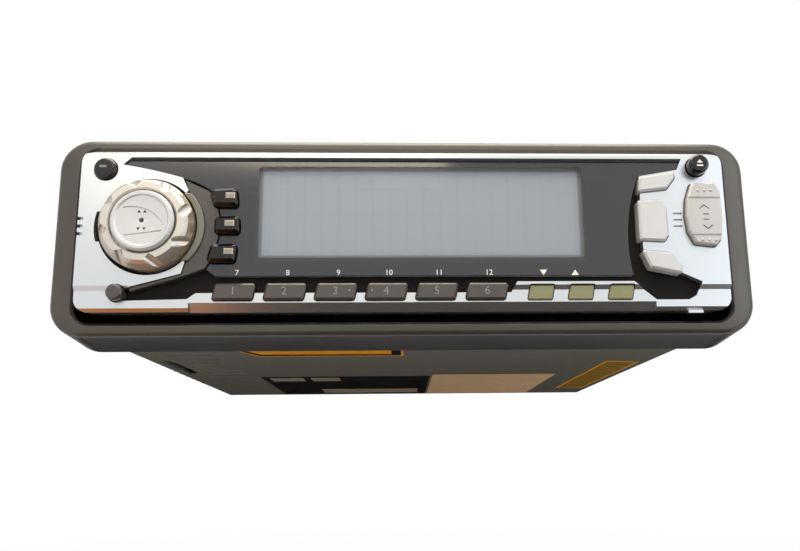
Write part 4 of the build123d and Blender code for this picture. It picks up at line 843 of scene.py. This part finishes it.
@dataclass
class Workshop:
    """Makes new pieces, dresses them and puts them on their body."""

    finishes: Finishes = field(default_factory=Finishes)
    size_per_digit: float = 1.4
    curve_steps: int = 3
    pip_corners: int = 16
    weld: float = 1e-7

    def dress(self, piece: bpy.types.Object, finish: Finish) -> None:
        """Give an object one finish all over."""
        piece.data.materials.clear()
        piece.data.materials.append(self.finishes.get(finish))

    def keep(self, name: str, mesh: bmesh.types.BMesh, finish: Finish, body: str) -> bpy.types.Object:
        """Store a built mesh as a piece that rides on a body.

        Args:
            name: Name of the piece.
            mesh: Its shape, in metres of the frame. It is freed.
            finish: Its finish.
            body: The body that it moves with.

        Returns:
            The new object.
        """
        bmesh.ops.recalc_face_normals(mesh, faces=mesh.faces)
        piece = new_object(name, new_mesh(name, mesh))
        self.dress(piece, finish)
        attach(piece, body)
        return piece

    @staticmethod
    def place(lay: Lay, centre: Triple) -> Matrix:
        """Matrix that takes a flat drawing to its place.

        Args:
            lay: Which way the drawing faces.
            centre: Where its centre goes, in millimetres.

        Returns:
            The transform, in metres.
        """
        turns = {
            Lay.FRONT: Euler((math.radians(90), 0, 0)),
            Lay.UNDER: Euler((math.radians(180), 0, 0)),
        }
        return Matrix.Translation(metres(*centre)) @ turns[lay].to_matrix().to_4x4()

    def plate(
        self,
        name: str,
        outline: Sequence[Point],
        thickness: float,
        lay: Lay,
        centre: Triple,
        finish: Finish,
        body: str,
        edge: float = 0.0,
    ) -> bpy.types.Object:
        """A flat plate from its outline, standing proud of the surface at its centre.

        Args:
            name: Name of the piece.
            outline: Corners, in millimetres round the centre, as seen from its front.
            thickness: How far it stands proud.
            lay: Which way it faces.
            centre: Where it sits.
            finish: Its finish.
            body: The body that carries it.
            edge: Width of the bevel round its front.

        Returns:
            The new piece.
        """
        shape = bmesh.new()
        shape.faces.new([shape.verts.new(metres(x, y, 0)) for x, y in outline])
        lifted = raised(shape, thickness)
        if edge:
            rims = [line for line in shape.edges if all(vert in lifted for vert in line.verts)]
            bmesh.ops.bevel(
                shape, geom=rims, offset=edge * MM, segments=2, profile=0.5, affect="EDGES", material=-1
            )
        bmesh.ops.transform(shape, matrix=self.place(lay, centre), verts=shape.verts)
        return self.keep(name, shape, finish, body)

    def lettering(
        self, name: str, text: str, height: float, centre: Triple, finish: Finish, body: str
    ) -> bpy.types.Object:
        """A printed number that faces the driver, a few hundredths of a millimetre thick.

        Args:
            name: Name of the piece.
            text: The number.
            height: Height of a digit.
            centre: Middle of the print.
            finish: Its ink.
            body: The body that carries it.

        Returns:
            The new piece.
        """
        curve = bpy.data.curves.new(name, "FONT")
        curve.body = text
        curve.size = height * MM * self.size_per_digit
        curve.align_x = "CENTER"
        curve.align_y = "CENTER"
        curve.extrude = INK / 2 * MM
        curve.resolution_u = self.curve_steps
        holder = new_object(name, curve)
        depsgraph = bpy.context.evaluated_depsgraph_get()
        flat = bpy.data.meshes.new_from_object(holder.evaluated_get(depsgraph))
        bpy.data.objects.remove(holder)
        shape = bmesh.new()
        shape.from_mesh(flat)
        bpy.data.meshes.remove(flat)
        bmesh.ops.remove_doubles(shape, verts=shape.verts, dist=self.weld)
        bmesh.ops.transform(shape, matrix=self.place(Lay.FRONT, centre), verts=shape.verts)
        return self.keep(name, shape, finish, body)

    def pip(self, name: str, radius: float, centre: Triple, finish: Finish, body: str) -> bpy.types.Object:
        """A small printed dot that faces the driver.

        Args:
            name: Name of the piece.
            radius: Its radius.
            centre: Where it sits.
            finish: Its ink.
            body: The body that carries it.

        Returns:
            The new piece.
        """
        shape = bmesh.new()
        bmesh.ops.create_circle(shape, cap_ends=True, segments=self.pip_corners, radius=radius * MM)
        raised(shape, INK)
        bmesh.ops.transform(shape, matrix=self.place(Lay.FRONT, centre), verts=shape.verts)
        return self.keep(name, shape, finish, body)


@dataclass
class Shell:
    """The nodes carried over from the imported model, each with its real finish."""

    workshop: Workshop
    dressing: tuple[tuple[Finish, tuple[str, ...]], ...] = (
        (Finishes.RING, ("trim_ring",)),
        (Finishes.SILVER, ("face_bezel",)),
        (Finishes.CHAMPAGNE, ("volume_dial",)),
        (Finishes.PEARL, ("select_button", "source_button")),
        (Finishes.ROCKER, ("seek_rocker",)),
        (Finishes.SMOKED, ("display_lens",)),
        (Finishes.PIANO, ("preset_button", "release_button")),
        (Finishes.BLACK, ("side_button", "standby_button", "eject_button")),
        (Finishes.CHARCOAL, ("dial_surround",)),
        (Finishes.OLIVE, ("mode_button",)),
        (Finishes.GUIDE, ("dial_lightguide",)),
        (Finishes.DISPLAY, ("lcd_panel",)),
        (Finishes.DARK, ("front_frame", "panel_holder", "inner_bezel")),
        (Finishes.SHELL, ("face_back",)),
        (
            Finishes.ZINC,
            ("chassis_tray", "top_cover", "rear_panel", "transport_base", "roller_arm", "clamp_arm"),
        ),
        (Finishes.EXTRUDED, ("heat_sink",)),
        (Finishes.NICKEL, ("face_screws", "rear_stud", "antenna_socket", "chassis_screws", "guide_rods")),
        (Finishes.CAN, ("dial_encoder", "drive_motors")),
        (Finishes.MASK, ("face_board", "main_board")),
        (
            Finishes.NYLON,
            (
                "hinge_brackets",
                "harness_socket",
                "output_sockets",
                "changer_socket",
                "board_components",
                "turntable",
                "optical_pickup",
                "lead_screw",
                "clamp_puck",
            ),
        ),
        (Finishes.RUBBER, ("transport_dampers", "feed_roller")),
    )

    def finish_of(self, node: str) -> Finish:
        """Finish of a node, by what its name starts with."""
        return next(finish for finish, names in self.dressing if node.startswith(names))

    def dress(self, nodes: dict[str, bpy.types.Object]) -> None:
        """Dress every carried-over node.

        Args:
            nodes: The frame's nodes by name.
        """
        for name, node in nodes.items():
            self.workshop.dress(node, self.finish_of(name))
        LOG.info("dressed %d nodes", len(nodes))


@dataclass
class FacePrint:
    """Numbers and plain marks printed on the face and its buttons, each riding with what carries it."""

    workshop: Workshop
    preset_front: float = -17.5
    preset_middle: Point = (-45.5, 8.1)
    preset_pitch: float = 13.32
    preset_count: int = 6
    preset_digit: float = 2.2
    preset_dot: Point = (3.7, 0.2)
    preset_dot_radius: float = 0.28
    lens_front: float = -16.4
    lens_row: float = 13.3
    lens_shift: float = 0.7
    lens_digit: float = 1.5
    mode_marks: Point = (36.4, 44.9)
    mode_arrow: Point = (2.0, 1.5)
    eject_middle: Triple = (79.5, -20.0, 42.9)
    eject_arrow: Point = (1.7, 0.9)
    eject_bar: Point = (1.7, 0.4)
    eject_rises: Point = (0.5, -0.7)
    standby_middle: Triple = (-80.3, -18.1, 41.9)
    standby_bar: Point = (1.8, 0.6)
    standby_shift: float = 0.4
    dial_middle: Triple = (-68.3, -21.77, 25.9)
    dial_dot_radius: float = 0.6
    dial_wedge: Point = (0.9, 0.8)
    dial_mark: float = 2.4
    dial_spread: float = 0.75
    rocker_front: float = -18.6
    rocker_chevrons: tuple[tuple[float, float, int], ...] = ((80.3, 31.0, 1), (81.0, 25.2, -1))
    chevron_reach: Point = (1.5, 0.6)
    chevron_inner: Point = (1.1, 0.28)
    rocker_ticks: tuple[Point, ...] = ((80.7, 28.9), (80.7, 27.4))
    rocker_tick: Point = (1.5, 0.25)

    def number(self, name: str, value: int, height: float, centre: Triple, ink: Finish, body: str) -> None:
        """Print one number so that its ink stands on the surface at its centre."""
        x, y, z = centre
        self.workshop.lettering(name, str(value), height, (x, y - INK / 2, z), ink, body)

    def presets(self) -> None:
        """Faint numbers 1 to 6 on the preset buttons, and two dots in the gap between 3 and 4."""
        x, z = self.preset_middle
        for index in range(self.preset_count):
            place = (x + index * self.preset_pitch, self.preset_front, z)
            button = f"preset_button_{index + 1}"
            self.number(f"{button}_number", index + 1, self.preset_digit, place, Finishes.GREY_INK, button)
        aside, rise = self.preset_dot
        for side, index in ((1, 3), (-1, 4)):
            place = (x + (index - 1) * self.preset_pitch + side * aside, self.preset_front, z + rise)
            name, button = f"preset_dot_{index}", f"preset_button_{index}"
            self.workshop.pip(name, self.preset_dot_radius, place, Finishes.GREY_INK, button)

    def second_row(self) -> None:
        """White numbers on the lens, above the presets, that count on from theirs."""
        x = self.preset_middle[0] + self.lens_shift
        for index in range(self.preset_count):
            value = index + 1 + self.preset_count
            place = (x + index * self.preset_pitch, self.lens_front, self.lens_row)
            self.number(f"lens_number_{value}", value, self.lens_digit, place, Finishes.WHITE_INK, FACE)

    def mark(self, name: str, outline: Sequence[Point], centre: Triple, ink: Finish, body: str) -> None:
        """Print one filled outline, given as seen from the front round its centre."""
        self.workshop.plate(name, outline, INK, Lay.FRONT, centre, ink, body)

    def triangle(self, name: str, size: Point, up: int, centre: Triple, ink: Finish, body: str) -> None:
        """Print a triangle that points up, or down where up is -1."""
        half, rise = size[0] / 2, up * size[1] / 2
        self.mark(name, [(-half, -rise), (half, -rise), (0.0, rise)], centre, ink, body)

    def arrows(self) -> None:
        """A down and an up triangle on the lens, above the first two mode buttons."""
        for index, (x, up) in enumerate(zip(self.mode_marks, (-1, 1))):
            place = (x, self.lens_front, self.lens_row)
            self.triangle(f"lens_arrow_{index + 1}", self.mode_arrow, up, place, Finishes.WHITE_INK, FACE)

    def round_buttons(self) -> None:
        """A triangle over a bar on the eject button and a short bar on the standby button."""
        x, y, z = self.eject_middle
        upper, lower = self.eject_rises
        ink, button = Finishes.WHITE_INK, "eject_button"
        self.triangle("eject_arrow", self.eject_arrow, 1, (x, y, z + upper), ink, button)
        self.mark("eject_bar", centred(*self.eject_bar), (x, y, z + lower), ink, button)
        x, y, z = self.standby_middle
        place = (x - self.standby_shift, y, z + self.standby_shift)
        self.mark("standby_bar", centred(*self.standby_bar), place, Finishes.GREY_INK, "standby_button")

    def dial(self) -> None:
        """A dot in the middle of the dial's centre button, and a pair of dark wedges above and below it."""
        x, y, z = self.dial_middle
        ink, button = Finishes.BLACK_INK, "select_button"
        self.workshop.pip("dial_dot", self.dial_dot_radius, self.dial_middle, ink, button)
        for up, end in ((1, "top"), (-1, "bottom")):
            for side, side_name in ((-1, "left"), (1, "right")):
                place = (x + side * self.dial_spread, y, z + up * self.dial_mark)
                self.triangle(f"dial_wedge_{end}_{side_name}", self.dial_wedge, up, place, ink, button)

    def rocker(self) -> None:
        """A thin chevron at each end of the rocker with two short ticks between them."""
        half, rise = self.chevron_reach
        inner, notch = self.chevron_inner
        ink, button = Finishes.BLACK_INK, "seek_rocker"
        for index, (x, z, up) in enumerate(self.rocker_chevrons):
            outline = [
                (-half, -rise * up),
                (0.0, rise * up),
                (half, -rise * up),
                (inner, -rise * up),
                (0.0, notch * up),
                (-inner, -rise * up),
            ]
            self.mark(f"rocker_chevron_{index + 1}", outline, (x, self.rocker_front, z), ink, button)
        for index, (x, z) in enumerate(self.rocker_ticks):
            place = (x, self.rocker_front, z)
            self.mark(f"rocker_tick_{index + 1}", centred(*self.rocker_tick), place, ink, button)

    def build(self) -> None:
        """Print everything."""
        self.presets()
        self.second_row()
        self.arrows()
        self.round_buttons()
        self.dial()
        self.rocker()
        LOG.info("printed the face")


@dataclass
class SideButtonWindows:
    """The unlit light window in each of the three side buttons, with a champagne line on two edges."""

    workshop: Workshop
    front: float = -18.4
    middle_x: float = -46.9
    size: Point = (2.2, 1.3)
    depth: float = 0.09
    line: float = 0.3
    bevel: float = 0.03
    heights: tuple[tuple[str, float], ...] = (("upper", 33.9), ("middle", 26.2), ("lower", 18.5))

    def build(self) -> None:
        """Set one window and its lines into each button."""
        width, height = self.size
        for level, z in self.heights:
            button = f"side_button_{level}"
            self.workshop.plate(
                f"{button}_line",
                centred(width + self.line, height + self.line),
                INK,
                Lay.FRONT,
                (self.middle_x + self.line / 2, self.front, z + self.line / 2),
                Finishes.GOLD_INK,
                button,
            )
            self.workshop.plate(
                f"{button}_window",
                centred(width, height),
                self.depth,
                Lay.FRONT,
                (self.middle_x, self.front, z),
                Finishes.WINDOW,
                button,
                edge=self.bevel,
            )
        LOG.info("set the side button windows")


@dataclass
class DisplayGlass:
    """The display's cover glass and the grey mask round it, pressed a hair into the back of the lens."""

    workshop: Workshop
    back: float = -13.85
    mask_depth: float = 1.2
    glass_depth: float = 1.25
    mask_growth: float = 1.8
    bevel: float = 0.02

    def build(self) -> None:
        """Cut the mask and the glass, and lay both on the display."""
        for name, growth, depth, finish in (
            ("display_mask", self.mask_growth, self.mask_depth, Finishes.FRAME),
            ("display_glass", 0.0, self.glass_depth, Finishes.DISPLAY),
        ):
            left, right, bottom, top = DISPLAY_BOX
            self.workshop.plate(
                name,
                rectangle(left - growth, right + growth, bottom - growth, top + growth),
                depth,
                Lay.FRONT,
                (0.0, self.back, 0.0),
                finish,
                FACE,
                edge=self.bevel,
            )
        LOG.info("glazed the display")


@dataclass(frozen=True)
class Sticker:
    """One blank plate: its outline in X and Y of the frame, its thickness and its finish."""

    name: str
    outline: Sequence[Point]
    thickness: float
    finish: Finish


@dataclass
class UndersidePlates:
    """Blank plates stuck to the underside, some with a border or paler blank fields."""

    workshop: Workshop
    plates: tuple[Sticker, ...] = (
        Sticker("under_strip_line", ((-58, 19), (-1, 19), (-1, 38), (-50, 38)), 0.06, Finishes.AMBER_LABEL),
        Sticker(
            "under_strip_border",
            ((-57, 19.6), (-1.8, 19.6), (-1.8, 36.6), (-49.4, 36.6)),
            0.1,
            Finishes.DARK_LABEL,
        ),
        Sticker("under_strip", ((-54, 21), (-5, 21), (-5, 33.6), (-48.4, 33.6)), 0.14, Finishes.AMBER_LABEL),
        Sticker("under_square", rectangle(-60, 10, 90, 155), 0.08, Finishes.DARK_LABEL),
        Sticker("under_square_field_1", rectangle(-57, -43, 93, 104), 0.12, Finishes.PALE_LABEL),
        Sticker("under_square_field_2", rectangle(-40, -28, 93, 104), 0.12, Finishes.PALE_LABEL),
        Sticker("under_square_field_3", rectangle(-40, 6, 134, 150), 0.12, Finishes.PALE_LABEL),
        Sticker("under_panel", rectangle(11, 62, 86, 155), 0.08, Finishes.BEIGE_LABEL),
        Sticker("under_side_border", ((73, 52), (86, 55), (86, 138), (73, 135)), 0.08, Finishes.AMBER_LABEL),
        Sticker("under_side", ((74, 53.4), (85, 55.8), (85, 136.6), (74, 134)), 0.14, Finishes.OCHRE_LABEL),
    )
    bevel: float = 0.02

    def build(self) -> None:
        """Stick them on. The drawing of the underside runs mirrored in Y, so each outline is turned over."""
        for plate in self.plates:
            self.workshop.plate(
                plate.name,
                [(x, -y) for x, y in plate.outline],
                plate.thickness,
                Lay.UNDER,
                (0.0, 0.0, 0.0),
                plate.finish,
                CHASSIS,
                edge=self.bevel,
            )
        LOG.info("stuck on the underside plates")


@dataclass
class Lamp:
    """One soft area lamp, hidden from the eye."""

    name: str
    place: Triple
    width: float
    height: float
    power: float
    hue: str = "ffffff"
    aim: Triple = (0.0, 0.02, 0.02)
    seen: bool = True

    def build(self) -> None:
        """Hang the lamp and turn it towards its aim."""
        light = bpy.data.lights.new(self.name, "AREA")
        light.shape = "RECTANGLE"
        light.size = self.width
        light.size_y = self.height
        light.energy = self.power
        light.color = colour(self.hue)[:3]
        holder = new_object(self.name, light)
        holder.location = self.place
        holder.rotation_euler = (Vector(self.aim) - Vector(self.place)).to_track_quat("-Z", "Y").to_euler()
        holder.visible_camera = False
        holder.visible_glossy = self.seen


@dataclass(frozen=True)
class Card:
    """A low reflection card that only glossy surfaces see, as the room before the real unit was."""

    name: str
    extent: Box
    tone: str


@dataclass
class Studio:
    """Floor, room light, reflection cards, lamps and the camera at the photograph's angle."""

    floor_z: float = -0.1
    floor_reach: float = 4.0
    shadow_span: Point = (0.25, 0.6)
    glow_span: Point = (0.88, 1.0)
    card_z: float = -0.095
    room_light: float = 0.25
    eye: Triple = (-0.00158, -0.19078, -0.03789)
    pitch: float = 9.4
    yaw: float = 1.9
    roll: float = -0.658
    focal_px: float = 679.8
    film_mm: float = 36.0
    nearest: float = 0.01
    shift: Point = (-0.03, 0.1)
    cards: tuple[Card, ...] = (
        Card("brown_card", (-0.078, 0.2, -0.3, 0.02), "2c1f18"),
        Card("amber_card", (-0.16, -0.078, -0.1, 0.02), "c06c18"),
        Card("rear_card", (-0.9, 0.9, 0.15, 1.8), "1c1815"),
    )
    lamps: tuple[Lamp, ...] = (
        Lamp("window_lamp", (-0.15, -0.55, 0.315), 0.42, 0.045, 0.34, "fff0d8"),
        Lamp("soft_lamp", (-0.1, -0.6, 0.5), 0.5, 0.4, 1.0, "f4f7ff", seen=False),
        Lamp("gleam_lamp", (0.0, -0.34, 0.54), 0.6, 0.12, 2.0, "fff2e0"),
        Lamp("ceiling_lamp", (0.0, -0.03, 0.55), 0.55, 0.45, 5.2, "fff0dc"),
        Lamp("fill_lamp", (0.6, -0.45, 0.2), 0.5, 0.5, 1.2, "eef3ff"),
        Lamp("rear_lamp", (0.3, 0.75, 0.45), 0.6, 0.5, 4.0, "ffffff", (0.0, 0.15, 0.02)),
    )

    def world(self) -> None:
        """White room: full white to the eye and in reflections, softer as light on the object."""
        world = bpy.data.worlds.new("white_room")
        bpy.context.scene.world = world
        world.use_nodes = True
        tree = world.node_tree
        tree.nodes.clear()
        strength = add_node(tree, "ShaderNodeMapRange", {"Value": shown(tree), "To Min": self.room_light})
        room = add_node(
            tree, "ShaderNodeBackground", {"Color": (1, 1, 1, 1), "Strength": strength.outputs["Result"]}
        )
        add_node(tree, "ShaderNodeOutputWorld", {"Surface": room.outputs["Background"]})

    @staticmethod
    def sheet(name: str, extent: Box, height: float, material: bpy.types.Material) -> bpy.types.Object:
        """A level sheet that belongs to the studio and not to the object.

        Args:
            name: Name of the sheet.
            extent: Its lowest and highest X, and its lowest and highest Y.
            height: Its Z.
            material: What it is made of.

        Returns:
            The new object.
        """
        shape = bmesh.new()
        shape.faces.new([shape.verts.new((x, y, height)) for x, y in rectangle(*extent)])
        level = new_object(name, new_mesh(name, shape))
        level.data.materials.append(material)
        return level

    def floor(self) -> None:
        """Pale floor, well below the object, which keeps its soft shadow."""
        material, tree = new_material("matt_white_floor")
        place = add_node(tree, "ShaderNodeTexCoord")
        reach = add_node(tree, "ShaderNodeVectorMath", {0: place.outputs["Object"]}, operation="LENGTH")
        near, far = self.shadow_span
        least, most = self.glow_span
        whole = add_node(
            tree,
            "ShaderNodeMapRange",
            {
                "Value": reach.outputs["Value"],
                "From Min": near,
                "From Max": far,
                "To Min": least,
                "To Max": most,
            },
        )
        share = add_node(
            tree, "ShaderNodeMath", {0: shown(tree), 1: whole.outputs["Result"]}, operation="MULTIPLY"
        )
        paint = add_node(tree, "ShaderNodeBsdfDiffuse", {"Color": (0.5, 0.5, 0.5, 1)})
        glow = add_node(tree, "ShaderNodeEmission", {"Color": (1, 1, 1, 1), "Strength": 1.0})
        mix = add_node(
            tree,
            "ShaderNodeMixShader",
            {0: share.outputs["Value"], 1: paint.outputs["BSDF"], 2: glow.outputs["Emission"]},
        )
        add_node(tree, "ShaderNodeOutputMaterial", {"Surface": mix.outputs["Shader"]})
        side = self.floor_reach
        self.sheet("floor", (-side, side, -side, side), self.floor_z, material)

    def card(self, card: Card) -> None:
        """Lay one reflection card, which gives its own tone and no light."""
        material, tree = new_material(card.name)
        glow = add_node(tree, "ShaderNodeEmission", {"Color": colour(card.tone), "Strength": 1.0})
        add_node(tree, "ShaderNodeOutputMaterial", {"Surface": glow.outputs["Emission"]})
        level = self.sheet(card.name, card.extent, self.card_z, material)
        for rays in ("visible_camera", "visible_diffuse", "visible_shadow", "visible_transmission"):
            setattr(level, rays, False)

    def camera(self) -> None:
        """The camera, low in front of the face and looking slightly up."""
        lens = bpy.data.cameras.new("eye")
        lens.sensor_width = self.film_mm
        lens.lens = self.film_mm * self.focal_px / PHOTO_WIDTH
        lens.shift_x, lens.shift_y = self.shift
        lens.clip_start = self.nearest
        holder = new_object("eye", lens)
        pitch, yaw, roll = (math.radians(angle) for angle in (self.pitch, self.yaw, self.roll))
        turn = Matrix.Rotation(-yaw, 4, "Z") @ Matrix.Rotation(math.pi / 2 + pitch, 4, "X")
        holder.matrix_world = Matrix.Translation(self.eye) @ turn @ Matrix.Rotation(roll, 4, "Z")
        bpy.context.scene.camera = holder

    def build(self) -> None:
        """Set up the whole studio."""
        self.world()
        self.floor()
        for card in self.cards:
            self.card(card)
        self.camera()
        for lamp in self.lamps:
            lamp.build()
        bpy.context.scene.view_settings.view_transform = "Standard"
        LOG.info("studio ready")


def main() -> None:
    """Load the frame, dress it, add the small pieces and set up the studio."""
    logging.basicConfig(level=logging.INFO, format="%(name)s: %(message)s")
    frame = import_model()
    workshop = Workshop()
    Studio().build()
    Shell(workshop).dress(frame["nodes"])
    FacePrint(workshop).build()
    SideButtonWindows(workshop).build()
    DisplayGlass(workshop).build()
    UndersidePlates(workshop).build()


if __name__ == "__main__":
    main()
